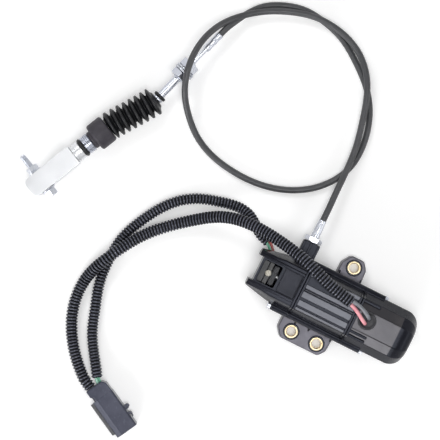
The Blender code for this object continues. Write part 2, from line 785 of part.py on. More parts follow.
def housing_screws():
    """Pan head screws with washers: two hold the head, two hold the cap."""
    ends = {
        "head_screw": (SEAM_1_X - HEAD_TOWER_LENGTH, -1, HEAD_TOWER_LENGTH),
        "cap_screw": (SEAM_2_X + CAP_RAIL_LENGTH, 1, CAP_RAIL_LENGTH),
    }
    for name, (face, way, tower) in ends.items():
        for number, side in enumerate((-1, 1), 1):
            washer_top = GAP + WASHER_THICKNESS
            top = washer_top + SCREW_HEAD_HEIGHT
            profile = [
                (0.0, -(tower + SCREW_DEPTH - 0.0015)),
                (SCREW_R, -(tower + SCREW_DEPTH - 0.0015)),
                (SCREW_R, GAP),
                (WASHER_R, GAP),
                (WASHER_R, washer_top),
                (SCREW_HEAD_R, washer_top),
                (SCREW_HEAD_R, top - 0.0009),
                (SCREW_HEAD_R - 0.0012, top),
                (0.0, top),
            ]
            screw = turned(profile, 12)
            slot = box((-0.0045, 0.0045), (-0.0005, 0.0005), (top - 0.0010, top + 0.0010))
            cut(screw, helper(slot, screw))
            finish(screw, f"{name}_{number}", ZINC, None)
            screw.matrix_world = Matrix.Translation((face, side * SCREW_Y, AXIS_Z)) @ along(
                (way, 0.0, 0.0)
            ).to_4x4()


def grommet():
    """Rubber plug in the cap's top, with the two motor leads through it."""
    seat = AXIS_Z + CAP_R * 0.925 + GAP
    top = seat + GROMMET_RISE
    low = seat - GROMMET_DEPTH
    profile = [
        (0.0, low),
        (GROMMET_PLUG_R, low),
        (GROMMET_PLUG_R, seat),
        (GROMMET_R, seat),
        (GROMMET_R, top - 0.0008),
        (GROMMET_R - 0.0008, top),
        (0.0, top),
    ]
    plug = turned(profile, 24)
    for x, y in LEAD_HOLES:
        hole = helper(rod(LEAD_HOLE_R, low - 0.0010, top + 0.0010, 10))
        hole.location = (x - GROMMET_X, y - GROMMET_Y, 0.0)
        hole.parent = plug
        cut(plug, hole)
    finish(plug, "lead_grommet", BLACK_RUBBER, None)
    plug.location = (GROMMET_X, GROMMET_Y, 0.0)


def gear_outline(teeth, internal=False):
    """Straight-flanked teeth. The first tooth's middle lies on local +X."""
    pitch_r = MODULE * teeth / 2
    outward = -1 if internal else 1
    tip_r = pitch_r + outward * ADDENDUM * MODULE
    root_r = pitch_r - outward * DEDENDUM * MODULE
    half = (math.pi * MODULE - BACKLASH) / 4
    lean = math.tan(math.radians(20.0))
    tip_half = (half - ADDENDUM * MODULE * lean) / tip_r
    root_half = (half + DEDENDUM * MODULE * lean) / root_r
    points = []
    for tooth in range(teeth):
        middle = 2 * math.pi * tooth / teeth
        for radius, offset in (
            (root_r, -root_half),
            (tip_r, -tip_half),
            (tip_r, tip_half),
            (root_r, root_half),
        ):
            angle = middle + offset
            points.append((radius * math.cos(angle), radius * math.sin(angle)))
    return points


def circle(radius, count, x=0.0, y=0.0):
    steps = [2 * math.pi * k / count for k in range(count)]
    return [(x + radius * math.cos(a), y + radius * math.sin(a)) for a in steps]


def gear_train():
    """Sun on the rotor shaft, three planets on the carrier's pins, ring gear in the bore."""
    teeth = gear_outline(RING_TEETH, internal=True)
    ring_low, ring_high = GEAR_X - CARRIER_THICKNESS, GEAR_X + GEAR_WIDTH + 0.0010
    ring_gear = prism(circle(RING_R, 40), ring_low, ring_high, [teeth])
    finish(ring_gear, "ring_gear", NYLON, MOTOR_AXIS)

    carrier = turned(
        [
            (0.0, SHAFT_TIP_X),
            (SHAFT_TIP_R, SHAFT_TIP_X),
            (SHAFT_TIP_R, POCKET_END_X - 0.0030),
            (OUTPUT_SHAFT_R, POCKET_END_X - 0.0030),
            (OUTPUT_SHAFT_R, CARRIER_X),
            (CARRIER_R + PLANET_PIN_R + 0.0012, CARRIER_X),
            (CARRIER_R + PLANET_PIN_R + 0.0012, CARRIER_X + CARRIER_THICKNESS),
            (0.0, CARRIER_X + CARRIER_THICKNESS),
        ],
        24,
    )
    pin_bore = circle(PLANET_PIN_R + RUNNING_GAP, 12)
    for number in range(PLANETS):
        angle = 2 * math.pi * number / PLANETS
        place = (CARRIER_R * math.cos(angle), CARRIER_R * math.sin(angle))
        pin = helper(rod(PLANET_PIN_R, CARRIER_X + 0.0010, GEAR_X + GEAR_WIDTH + 0.0012, 12), MOTOR_AXIS)
        pin.location = (*place, 0.0)
        join(carrier, pin)
        planet = prism(gear_outline(PLANET_TEETH), GEAR_X, GEAR_X + GEAR_WIDTH, [pin_bore])
        finish(planet, f"planet_gear_{number + 1}", STEEL, MOTOR_AXIS)
        planet.location = (*place, 0.0)
        # A planet's gap faces the ring tooth and the sun tooth that lie on its line of centres
        ring_offset = angle * RING_TEETH / PLANET_TEETH
        planet.rotation_euler.z = angle + math.pi / PLANET_TEETH - ring_offset
    finish(carrier, "output_shaft", STEEL, MOTOR_AXIS)


def cable_drum():
    half = DRUM_WIDTH / 2
    groove = CORE_R + GAP
    rim = DRUM_R + DRUM_FLANGE
    bottom = DRUM_R - CORE_R - GAP
    profile = [
        (OUTPUT_SHAFT_R + GAP, OUTLET_X - half),
        (rim, OUTLET_X - half),
        (rim, OUTLET_X - groove - 0.0004),
        (bottom, OUTLET_X - groove),
        (bottom, OUTLET_X + groove),
        (rim, OUTLET_X + groove + 0.0004),
        (rim, OUTLET_X + half),
        (OUTPUT_SHAFT_R + GAP, OUTLET_X + half),
    ]
    drum = turned(profile, 32)
    for number in range(4):
        angle = math.pi / 4 + number * math.pi / 2
        hole = helper(rod(0.0026, OUTLET_X - half - 0.0010, OUTLET_X + half + 0.0010, 10), MOTOR_AXIS)
        hole.location = (0.0086 * math.cos(angle), 0.0086 * math.sin(angle), 0.0)
        cut(drum, hole)
    finish(drum, "cable_drum", NYLON, MOTOR_AXIS)


def motor():
    """Permanent magnet motor: can with a bearing sleeve, magnets, rotor and brush gear."""
    bore = ROTOR_SHAFT_R + RUNNING_GAP
    can = turned(
        [
            (bore, CAN_X),
            (CAN_R - 0.0015, CAN_X),
            (CAN_R, CAN_X + 0.0015),
            (CAN_R, CAN_END_X),
            (CAN_R - CAN_WALL, CAN_END_X),
            (CAN_R - CAN_WALL, CAN_X + CAN_WALL),
            (bore + BEARING_WALL, CAN_X + CAN_WALL),
            (bore + BEARING_WALL, CAN_X + BEARING_WIDTH),
            (bore, CAN_X + BEARING_WIDTH),
        ],
        36,
    )
    finish(can, "motor_can", STEEL, MOTOR_AXIS)

    outer = CAN_R - CAN_WALL - GAP
    plate_high = CAN_END_X - END_PLATE_INSET
    plate_low = plate_high - END_PLATE_THICKNESS
    plate = turned(
        [
            (bore, plate_low - END_PLATE_COLLAR),
            (bore + BEARING_WALL, plate_low - END_PLATE_COLLAR),
            (bore + BEARING_WALL, plate_low),
            (outer, plate_low),
            (outer, plate_high),
            (bore, plate_high),
        ],
        28,
    )
    finish(plate, "motor_end_plate", GREY_PLASTIC, MOTOR_AXIS)

    inner = outer - MAGNET_THICKNESS
    for number, middle in enumerate((0.0, math.pi), 1):
        sweep = [middle + math.radians(a) for a in range(-64, 65, 16)]
        arc = [(outer * math.cos(a), outer * math.sin(a)) for a in sweep]
        arc += [(inner * math.cos(a), inner * math.sin(a)) for a in reversed(sweep)]
        magnet = prism(arc, MAGNET_X, MAGNET_X + MAGNET_LENGTH)
        finish(magnet, f"magnet_{number}", MAGNET, MOTOR_AXIS)

    shaft_end = plate_low + END_PLATE_THICKNESS * 2 / 3
    shaft = rod(ROTOR_SHAFT_R, GEAR_X, shaft_end, 16)
    pinion = helper(prism(gear_outline(SUN_TEETH), GEAR_X + 0.0002, GEAR_X + GEAR_WIDTH), MOTOR_AXIS)
    join(shaft, pinion)
    finish(shaft, "rotor_shaft", STEEL, MOTOR_AXIS)

    slots = []
    for number in range(ARMATURE_SLOTS):
        middle = 2 * math.pi * number / ARMATURE_SLOTS
        for radius, offset in (
            (ARMATURE_R, -0.30),
            (ARMATURE_R, 0.0),
            (ARMATURE_R, 0.30),
            (ARMATURE_R * 0.62, 0.28),
            (ARMATURE_R * 0.62, 0.50),
        ):
            angle = middle + offset
            slots.append((radius * math.cos(angle), radius * math.sin(angle)))
    start = MAGNET_X + (MAGNET_LENGTH - ARMATURE_LENGTH) / 2
    armature = prism(slots, start, start + ARMATURE_LENGTH, [circle(ROTOR_SHAFT_R + GAP, 16)])
    finish(armature, "armature", STEEL, MOTOR_AXIS)

    commutator = ring(
        ROTOR_SHAFT_R + GAP, COMMUTATOR_R, COMMUTATOR_X, COMMUTATOR_X + COMMUTATOR_LENGTH, 16, 0.0004
    )
    finish(commutator, "commutator", COPPER, MOTOR_AXIS)
    card_low = COMMUTATOR_X + COMMUTATOR_LENGTH - 0.0020
    card = ring(COMMUTATOR_R + 0.0012, outer, card_low, card_low + 0.0015, 24)
    half = BRUSH_SIDE / 2
    brush_low = COMMUTATOR_R + GAP
    for side in (-1, 1):
        ends = sorted((side * brush_low, side * (brush_low + BRUSH_LENGTH)))
        brush = box((-half, half), ends, (card_low + 0.0005 - BRUSH_SIDE, card_low + 0.0005))
        join(card, helper(brush, MOTOR_AXIS))
    finish(card, "brush_card", GREY_PLASTIC, MOTOR_AXIS)


def sensor():
    """Rotary position sensor in the open pocket, read by the output shaft's tip."""
    start = SENSOR_X
    socket_r = SHAFT_TIP_R + RUNNING_GAP
    profile = [
        (0.0, start + 0.0040),
        (socket_r, start + 0.0040),
        (socket_r, start + SENSOR_LENGTH),
        (SENSOR_R, start + SENSOR_LENGTH),
        (SENSOR_R, start),
        (0.0, start),
    ]
    body = turned(profile, 28)
    top = box((start - 0.001, start + SENSOR_LENGTH + 0.001), (-0.02, 0.02), (SENSOR_FLAT_Z, 0.02))
    top.location.z = AXIS_Z
    cut(body, helper(top))
    middle = start + SENSOR_LENGTH / 2
    hole = helper(rod(0.0013, AXIS_Z + SENSOR_FLAT_Z - 0.0035, AXIS_Z + SENSOR_FLAT_Z + 0.0010, 10))
    hole.location = (middle, 0.0, 0.0)
    cut(body, hole)
    finish(body, "position_sensor", GREY_PLASTIC, MOTOR_AXIS)

    seat = AXIS_Z + SENSOR_FLAT_Z + GAP
    half = POCKET_HALF - GAP
    width = (middle - CLAMP_WIDTH / 2, middle + CLAMP_WIDTH / 2)
    strap = box(width, (-half, half), (seat, seat + CLAMP_THICKNESS))
    hole = helper(rod(0.0013 + GAP, seat - 0.0010, seat + 0.0030, 10))
    hole.location = (middle, 0.0, 0.0)
    cut(strap, hole)
    finish(strap, "sensor_clamp", STEEL, None)

    head = seat + CLAMP_THICKNESS + GAP
    screw = turned(
        [
            (0.0, head - 0.0042),
            (0.0010, head - 0.0042),
            (0.0010, head),
            (SENSOR_SCREW_R, head),
            (SENSOR_SCREW_R, head + 0.0014),
            (SENSOR_SCREW_R - 0.0009, head + 0.0022),
            (0.0, head + 0.0022),
        ],
        16,
    )
    slot = box((-0.0005, 0.0005), (-0.004, 0.004), (head + 0.0012, head + 0.0030))
    cut(screw, helper(slot, screw))
    finish(screw, "sensor_screw", ZINC, None)
    screw.location = (middle, 0.0, 0.0)


def hexagon(flats, turn=0.0):
    radius = flats / math.sqrt(3)
    corners = [turn + math.pi * k / 3 for k in range(6)]
    return [(radius * math.cos(a), radius * math.sin(a)) for a in corners]


def hex_nut(flats, low, high, bore, turn=0.0):
    """A hexagon between two faces, with its corners turned off at both ends."""
    nut = prism(hexagon(flats, turn), low, high, [circle(bore, 16)])
    corner = flats / math.sqrt(3)
    depth = (corner - flats / 2) * 0.6
    blank = turned(
        [
            (0.0, low),
            (flats / 2 * 0.97, low),
            (corner * 1.001, low + depth),
            (corner * 1.001, high - depth),
            (flats / 2 * 0.97, high),
            (0.0, high),
        ],
        24,
    )
    combine(nut, helper(blank, nut), "INTERSECT")
    return nut


def outlet():
    """Nut and tapered ferrule that hold the conduit to the boss."""
    face = BOSS_TIP_Y + GAP
    nut_end = face + OUTLET_NUT_LENGTH
    spigot_r = BOSS_BORE_R - 1.25 * GAP
    nut = hex_nut(OUTLET_NUT_FLATS, face, nut_end, spigot_r + GAP)
    finish(nut, "outlet_nut", ZINC, OUTLET_AXIS)
    start = nut_end + GAP
    end = start + OUTLET_FERRULE_LENGTH
    seat = end - CONDUIT_SEAT
    ferrule = turned(
        [
            (CORE_R + GAP, BOSS_TIP_Y - 0.0080),
            (spigot_r, BOSS_TIP_Y - 0.0080),
            (spigot_r, start),
            (OUTLET_FERRULE_R, start),
            (FERRULE_TIP_R, end),
            (CONDUIT_R + CONDUIT_FIT, end),
            (CONDUIT_R + CONDUIT_FIT, seat),
            (CORE_R + GAP, seat),
        ],
        20,
    )
    finish(ferrule, "outlet_ferrule", ZINC, OUTLET_AXIS)
    core = rod(CORE_R, 0.0, seat - 0.0005, 10)
    finish(core, "drum_core", STEEL, OUTLET_AXIS)
    return end


HUB_POINT = Vector((*HUB_START, END_Z))
HUB_WAY = heading(HUB_ANGLE)
HUB_AXIS = empty("hub_axis", HUB_POINT, along(HUB_WAY))
THREAD_START = END_FERRULE_LENGTH + HUB_NECK_LENGTH
NUTS_END = THREAD_START + sum(LOCK_NUT_LENGTHS) + 2 * LOCK_WASHER_THICKNESS + 3 * GAP
SUPPORT_END = NUTS_END + SUPPORT_LENGTH
BOOT_START = SUPPORT_END + SEAL_WIDTH / 2 + GAP
YOKE_WAY = heading(YOKE_ANGLE)
CAP_POINT = HUB_POINT + HUB_WAY * SUPPORT_END + Vector((*SEAL_TO_CAP, 0.0))
END_AXIS = empty("cable_end_axis", CAP_POINT, along(YOKE_WAY))


def hub():
    """Crimp ferrule, threaded hub with its two nuts and washers, and the support tube."""
    ferrule = turned(
        [
            (HUB_NECK_R + GAP, CONDUIT_SEAT),
            (CONDUIT_R + CONDUIT_FIT, CONDUIT_SEAT),
            (CONDUIT_R + CONDUIT_FIT, 0.0),
            (END_FERRULE_R, 0.0),
            (END_FERRULE_R, END_FERRULE_LENGTH - 0.0020),
            (HUB_NECK_R + 0.0008, END_FERRULE_LENGTH),
            (HUB_NECK_R + GAP, END_FERRULE_LENGTH),
        ],
        16,
    )
    finish(ferrule, "crimp_ferrule", ZINC, HUB_AXIS)
    body = turned(
        [
            (ROD_R + GAP, CONDUIT_SEAT + GAP),
            (HUB_NECK_R, CONDUIT_SEAT + GAP),
            (HUB_NECK_R, THREAD_START - 0.0015),
            (HUB_THREAD_R - 0.0006, THREAD_START - 0.0010),
            (HUB_THREAD_R, THREAD_START - 0.0004),
            (HUB_THREAD_R, NUTS_END + 0.0010),
            (HUB_THREAD_R - 0.0006, NUTS_END + 0.0016),
            (SUPPORT_BORE_R + 0.0007, NUTS_END + 0.0016),
            (ROD_R + GAP, NUTS_END - 0.0040),
        ],
        20,
    )
    finish(body, "threaded_hub", ZINC, HUB_AXIS)
    bore = HUB_THREAD_R + GAP
    at = THREAD_START
    first = hex_nut(LOCK_NUT_FLATS, at, at + LOCK_NUT_LENGTHS[0], bore, math.pi / 6)
    finish(first, "lock_nut_1", ZINC, HUB_AXIS)
    at += LOCK_NUT_LENGTHS[0] + GAP
    for number in (1, 2):
        washer = ring(bore, LOCK_WASHER_R, at, at + LOCK_WASHER_THICKNESS, 24)
        finish(washer, f"lock_washer_{number}", ZINC, HUB_AXIS)
        at += LOCK_WASHER_THICKNESS + GAP
    second = hex_nut(LOCK_NUT_FLATS, at, at + LOCK_NUT_LENGTHS[1], bore, math.pi / 6)
    finish(second, "lock_nut_2", ZINC, HUB_AXIS)

    support_low = NUTS_END + 0.0016 + GAP
    support = ring(SUPPORT_BORE_R, SUPPORT_R, support_low, BOOT_START + BOOT_NECK_LENGTH, 16)
    finish(support, "support_tube", ZINC, HUB_AXIS)
    seal_low = SUPPORT_END - SEAL_WIDTH / 2
    seal = ring(SUPPORT_R + GAP, SEAL_R, seal_low, seal_low + SEAL_WIDTH, 20, 0.0007)
    finish(seal, "dust_seal", BLACK_RUBBER, HUB_AXIS)


def boot_profile():
    """Bellows wall as (radius, distance): a neck, then pleats, inside and outside."""
    bore = SUPPORT_R + GAP
    outside = [(bore + BOOT_NECK_WALL, 0.0), (bore + BOOT_NECK_WALL, BOOT_NECK_LENGTH)]
    inside = [(bore, 0.0), (bore, BOOT_NECK_LENGTH)]
    for pleat in range(BOOT_PLEATS):
        start = BOOT_NECK_LENGTH + pleat * BOOT_PITCH
        outside.append((BOOT_VALLEY_R, start + 0.10 * BOOT_PITCH))
        outside.append((BOOT_TIP_R, start + 0.36 * BOOT_PITCH))
        outside.append((BOOT_TIP_R, start + 0.64 * BOOT_PITCH))
        outside.append((BOOT_VALLEY_R, start + 0.90 * BOOT_PITCH))
        inside.append((BOOT_VALLEY_R - BOOT_WALL, start + 0.06 * BOOT_PITCH))
        inside.append((BOOT_TIP_R - BOOT_WALL * 1.2, start + 0.50 * BOOT_PITCH))
    end = BOOT_NECK_LENGTH + BOOT_PLEATS * BOOT_PITCH
    outside.append((BOOT_VALLEY_R, end))
    inside.append((BOOT_VALLEY_R - BOOT_WALL, end))
    return outside + inside[::-1], end


def bow(start, start_way, end, end_way, count, pull=0.40):
    """Points on the cubic between two ends whose directions are given."""
    reach = (end - start).length * pull
    handles = (start, start + start_way * reach, end - end_way * reach, end)
    made = []
    for k in range(count):
        t = k / (count - 1)
        s = 1 - t
        weights = (s**3, 3 * s * s * t, 3 * s * t * t, t**3)
        made.append(sum((h * w for h, w in zip(handles, weights)), Vector((0.0, 0.0, 0.0))))
    return made


def bend_along(obj, length, path):
    """Bends a straight turned mesh, whose height runs 0..length, onto a level path."""
    mesh = evaluated_mesh(obj)
    steps = [0.0]
    for a, b in zip(path, path[1:]):
        steps.append(steps[-1] + (b - a).length)
    scale = steps[-1] / length
    up = Vector((0.0, 0.0, 1.0))
    for vertex in mesh.vertices:
        s = vertex.co.z * scale
        k = min(max(i for i, at in enumerate(steps) if at <= s + 1e-12), len(path) - 2)
        part = (s - steps[k]) / (steps[k + 1] - steps[k])
        here = path[k].lerp(path[k + 1], part)
        before = path[max(k - 1, 0) + 1] - path[max(k - 1, 0)]
        after = path[min(k + 1, len(path) - 2) + 1] - path[min(k + 1, len(path) - 2)]
        way = before.normalized().lerp(after.normalized(), 0.25 + part / 2).normalized()
        side = up.cross(way)
        vertex.co = here + side * vertex.co.x + up * vertex.co.y
    bpy.data.objects.remove(obj)
    return mesh_object("bent", mesh)


def boot():
    """Pleated bellows from the support tube to the bell cap, bowed as it lies."""
    profile, length = boot_profile()
    start = HUB_POINT + HUB_WAY * BOOT_START
    end = CAP_POINT - YOKE_WAY * GAP
    path = bow(start, HUB_WAY, end, YOKE_WAY, 25)
    bellows = bend_along(turned(profile, 18), length, path)
    finish(bellows, "bellows", BLACK_RUBBER, None, 50.0)
    clamp_r = SUPPORT_R + BOOT_NECK_WALL + 2 * GAP
    clamp_low = BOOT_START + 0.0004
    clamp = ring(clamp_r, CLAMP_RING_R, clamp_low, clamp_low + CLAMP_RING_WIDTH, 20)
    finish(clamp, "bellows_clamp_ring", ZINC, HUB_AXIS)
    wire_start = HUB_POINT + HUB_WAY * (SUPPORT_END - 0.0100)
    wire_end = CAP_POINT + YOKE_WAY * 0.0050
    straight = HUB_POINT + HUB_WAY * BOOT_START
    wire = [wire_start] + bow(straight, HUB_WAY, wire_end, YOKE_WAY, 12)
    finish(tube(wire, ROD_R), "inner_wire", STEEL, None)


def bell_and_collar():
    """Pieces on the moving end, in order from the bellows to the yoke."""
    c = 0.0022
    bell = turned(
        [
            (ROD_R + GAP, 0.0),
            (CAP_BELL_R - c, 0.0),
            (CAP_BELL_R - 0.3 * c, 0.3 * c),
            (CAP_BELL_R, c),
            (CAP_BELL_R, CAP_BELL_LENGTH - c),
            (CAP_BELL_R - 0.3 * c, CAP_BELL_LENGTH - 0.3 * c),
            (CAP_BELL_R - c, CAP_BELL_LENGTH),
            (CAP_LIP_R, CAP_BELL_LENGTH),
            (CAP_LIP_R, CAP_BELL_LENGTH + CAP_LIP_LENGTH),
            (ROD_R + GAP, CAP_BELL_LENGTH + CAP_LIP_LENGTH),
        ],
        28,
    )
    finish(bell, "bellows_cap", BLACK_RUBBER, END_AXIS)
    at = CAP_BELL_LENGTH + CAP_LIP_LENGTH + GAP
    stud_bore = YOKE_STUD_R + GAP
    finish(ring(stud_bore, END_RING_R, at, at + END_RING_LENGTH, 24, 0.0008), "end_ring", ZINC, END_AXIS)
    at += END_RING_LENGTH + GAP
    o_ring = ring(stud_bore, END_RING_R, at, at + O_RING_LENGTH, 24, 0.0010)
    finish(o_ring, "end_o_ring", BLACK_RUBBER, END_AXIS)
    at += O_RING_LENGTH + GAP
    collar = turned(
        [
            (stud_bore, at),
            (COLLAR_R, at),
            (COLLAR_R, at + COLLAR_LENGTH - 0.0030),
            (COLLAR_R - 0.0010, at + COLLAR_LENGTH - 0.0026),
            (COLLAR_R - 0.0010, at + COLLAR_LENGTH - 0.0014),
            (COLLAR_R, at + COLLAR_LENGTH - 0.0010),
            (COLLAR_R, at + COLLAR_LENGTH),
            (stud_bore, at + COLLAR_LENGTH),
        ],
        24,
    )
    finish(collar, "end_collar", ZINC, END_AXIS)
    return at + COLLAR_LENGTH + GAP


def yoke(face):
    """Channel-shaped yoke, open below and at its end, with a bolt across its ears."""
    half = YOKE_WIDTH / 2
    end = face + YOKE_LENGTH
    side_view = rounded(
        [
            (-half, face),
            (-half, end - 0.0060),
            (-half + 0.0050, end),
            (half - 0.0050, end),
            (half, end - 0.0060),
            (half, face),
        ],
        0.0020,
        2,
    )
    # In END_AXIS local X points down or up and local Y lies level, so the plan is in (y, z)
    high = YOKE_HEIGHT / 2
    body = loft([[(-high, y, z) for y, z in side_view], [(high, y, z) for y, z in side_view]])
    inner = half - YOKE_EAR
    slot = box((-high + 0.0035, high + 0.0010), (-inner, inner), (end - YOKE_SLOT_LENGTH, end + 0.0010))
    cut(body, helper(slot, END_AXIS))
    bolt_z = end - BOLT_FROM_END
    hole = helper(rod(BOLT_R + GAP, -half - 0.0010, half + 0.0010, 12), END_AXIS)
    hole.rotation_euler = (math.radians(-90), 0.0, 0.0)
    hole.location = (0.0, 0.0, bolt_z)
    cut(body, hole)
    stud = helper(rod(YOKE_STUD_R, CAP_BELL_LENGTH + CAP_LIP_LENGTH + 2 * GAP, face + 0.0010, 14), END_AXIS)
    join(body, stud)
    finish(body, "yoke", ZINC, END_AXIS)

    seat = half + GAP
    flats = FLANGE_NUT_FLATS / 2
    bolt = turned(
        [
            (0.0, -seat - 0.0086),
            (0.0034, -seat - 0.0086),
            (flats * 1.08, -seat - 0.0078),
            (flats * 1.08, -seat - 0.0020),
            (FLANGE_NUT_R, -seat - 0.0012),
            (FLANGE_NUT_R, -seat),
            (BOLT_R, -seat),
            (BOLT_R, seat + FLANGE_NUT_LENGTH + BOLT_STUD - 0.0008),
            (BOLT_R - 0.0008, seat + FLANGE_NUT_LENGTH + BOLT_STUD),
            (0.0, seat + FLANGE_NUT_LENGTH + BOLT_STUD),
        ],
        12,
    )
    finish(bolt, "yoke_bolt", ZINC, END_AXIS)
    nut = prism(hexagon(FLANGE_NUT_FLATS), seat, seat + FLANGE_NUT_LENGTH, [circle(BOLT_R + GAP, 12)])
    flange = helper(ring(BOLT_R + GAP, FLANGE_NUT_R, seat, seat + 0.0014, 20), nut)
    join(nut, flange)
    finish(nut, "yoke_nut", ZINC, END_AXIS)
    for piece in (bolt, nut):
        piece.rotation_euler = (math.radians(90), 0.0, 0.0)
        piece.location = (0.0, 0.0, bolt_z)


# Harness and leads
SENSOR_X = HEAD_X + TIP_OVERHANG + POCKET_WALL + 0.0030
SHAFT_TIP_X = SENSOR_X + 0.0045
LEAD_HOLES = [(GROMMET_X - 0.0010, GROMMET_Y - 0.0030), (GROMMET_X + 0.0004, GROMMET_Y + 0.0026)]

CONDUIT_ROUTE = [
    (-0.0411, 0.0830, 0.0133),
    (-0.0415, 0.0980, 0.0117),
    (-0.0419, 0.1190, 0.0099),
    (-0.0455, 0.1430, 0.0094),
    (-0.0500, 0.1660, 0.0094),
    (-0.0575, 0.1945, 0.0098),
    (-0.0700, 0.2130, 0.0095),
    (-0.0880, 0.2270, 0.0095),
    (-0.1110, 0.2345, 0.0097),
    (-0.1330, 0.2350, 0.0097),
    (-0.1560, 0.2300, 0.0095),
    (-0.1780, 0.2195, 0.0097),
    (-0.1935, 0.2080, 0.0108),
    (-0.2070, 0.1930, 0.0162),
    (-0.2155, 0.1760, 0.0222),
    (-0.2190, 0.1580, 0.0270),
    (-0.2185, 0.1415, 0.0284),
    (-0.2150, 0.1260, 0.0258),
    (-0.2085, 0.1120, 0.0176),
    (-0.1985, 0.0992, 0.0085),
    (-0.1840, 0.0862, 0.0036),
    (-0.1640, 0.0762, 0.0033),
    (-0.1380, 0.0710, 0.0033),
    (-0.1120, 0.0710, 0.0033),
    (-0.0880, 0.0765, 0.0033),
    (-0.0660, 0.0880, 0.0033),
    (-0.0490, 0.1050, 0.0033),
    (-0.0395, 0.1250, 0.0033),
    (-0.0380, 0.1470, 0.0033),
    (-0.0435, 0.1720, 0.0033),
    (-0.0580, 0.1965, 0.0033),
    (-0.0790, 0.2165, 0.0033),
    (-0.1010, 0.2305, 0.0033),
    (-0.1240, 0.2375, 0.0033),
    (-0.1450, 0.2385, 0.0033),
    (-0.1660, 0.2330, 0.0033),
    (-0.1815, 0.2240, 0.0033),
    (-0.1910, 0.2130, 0.0050),
    (-0.1980, 0.2000, 0.0112),
]
MOTOR_TUBE_ROUTE = [
    (GROMMET_X - 0.0204, 0.0104, 0.0582),
    (-0.0040, 0.0140, 0.0588),
    (-0.0230, 0.0195, 0.0588),
    (-0.0420, 0.0258, 0.0560),
    (-0.0620, 0.0302, 0.0490),
    (-0.0840, 0.0330, 0.0410),
    (-0.1060, 0.0330, 0.0330),
    (-0.1290, 0.0270, 0.0220),
    (-0.1490, 0.0140, 0.0120),
    (-0.1680, -0.0040, 0.0072),
    (-0.1880, -0.0230, 0.0100),
    (-0.1990, -0.0400, 0.0148),
    (-0.2045, -0.0500, 0.0158),
    (-0.2105, -0.0620, 0.0130),
    (-0.2170, -0.0820, 0.0062),
    (-0.2170, -0.1050, 0.0051),
    (-0.2090, -0.1290, 0.0051),
    (-0.1990, -0.1450, 0.0056),
    (-0.1840, -0.1605, 0.0076),
]
SENSOR_TUBE_ROUTE = [
    (-0.0785, 0.0260, 0.0270),
    (-0.0885, 0.0295, 0.0245),
    (-0.0990, 0.0370, 0.0185),
    (-0.1090, 0.0420, 0.0138),
    (-0.1220, 0.0425, 0.0098),
    (-0.1360, 0.0395, 0.0068),
    (-0.1510, 0.0350, 0.0052),
    (-0.1680, 0.0255, 0.0051),
    (-0.1870, 0.0100, 0.0051),
    (-0.1975, -0.0040, 0.0051),
    (-0.2018, -0.0190, 0.0051),
    (-0.2038, -0.0360, 0.0051),
    (-0.2040, -0.0520, 0.0051),
    (-0.2030, -0.0680, 0.0051),
    (-0.2010, -0.0850, 0.0051),
    (-0.1965, -0.1040, 0.0051),
    (-0.1890, -0.1250, 0.0051),
    (-0.1785, -0.1430, 0.0060),
    (-0.1725, -0.1520, 0.0076),
    (-0.1672, -0.1598, 0.0088),
]


def conduit(start_y):
    """The cable's sheath, nearly two turns, from the outlet ferrule to the crimp ferrule."""
    out = Vector((0.0, 1.0, 0.0))
    mouth = Vector((OUTLET_X, start_y, EXIT_Z))
    start = [mouth, mouth + out * 0.0060]
    end = [HUB_POINT - HUB_WAY * 0.0070, HUB_POINT]
    free = smooth_route([*start, *map(Vector, CONDUIT_ROUTE), *end], 0.0115)
    seat = CONDUIT_SEAT - GAP
    route = [mouth - out * seat, *free, HUB_POINT + HUB_WAY * seat]
    finish(tube(route, CONDUIT_R), "cable_conduit", CONDUIT_JACKET, None)


def harness_tubes():
    way = heading(CONNECTOR_ANGLE)
    side = Vector((-way.y, way.x, 0.0)) * (CONNECTOR_REAR_WIDTH / 4)
    start = Vector((*CONNECTOR_START, CONNECTOR_Z))
    face = start - side - way * GAP
    points = [*map(Vector, MOTOR_TUBE_ROUTE), face - way * 0.0100]
    motor_tube = smooth_route(points, 0.0165) + [face]
    finish(tube(motor_tube, TUBE_R), "motor_harness_tube", BLACK_PLASTIC, None)
    sensor_tube = smooth_route(SENSOR_TUBE_ROUTE, 0.0165)
    finish(tube(sensor_tube, TUBE_R), "sensor_harness_tube", BLACK_PLASTIC, None)
    end = Vector(SENSOR_TUBE_ROUTE[-1])
    last_way = (sensor_tube[-1] - sensor_tube[-2]).normalized()
    lead = [end + last_way * GAP, start + side * 0.9 - way * GAP]
    finish(tube(lead, SENSOR_LEAD_R), "connector_lead", GREEN_LEAD, None)


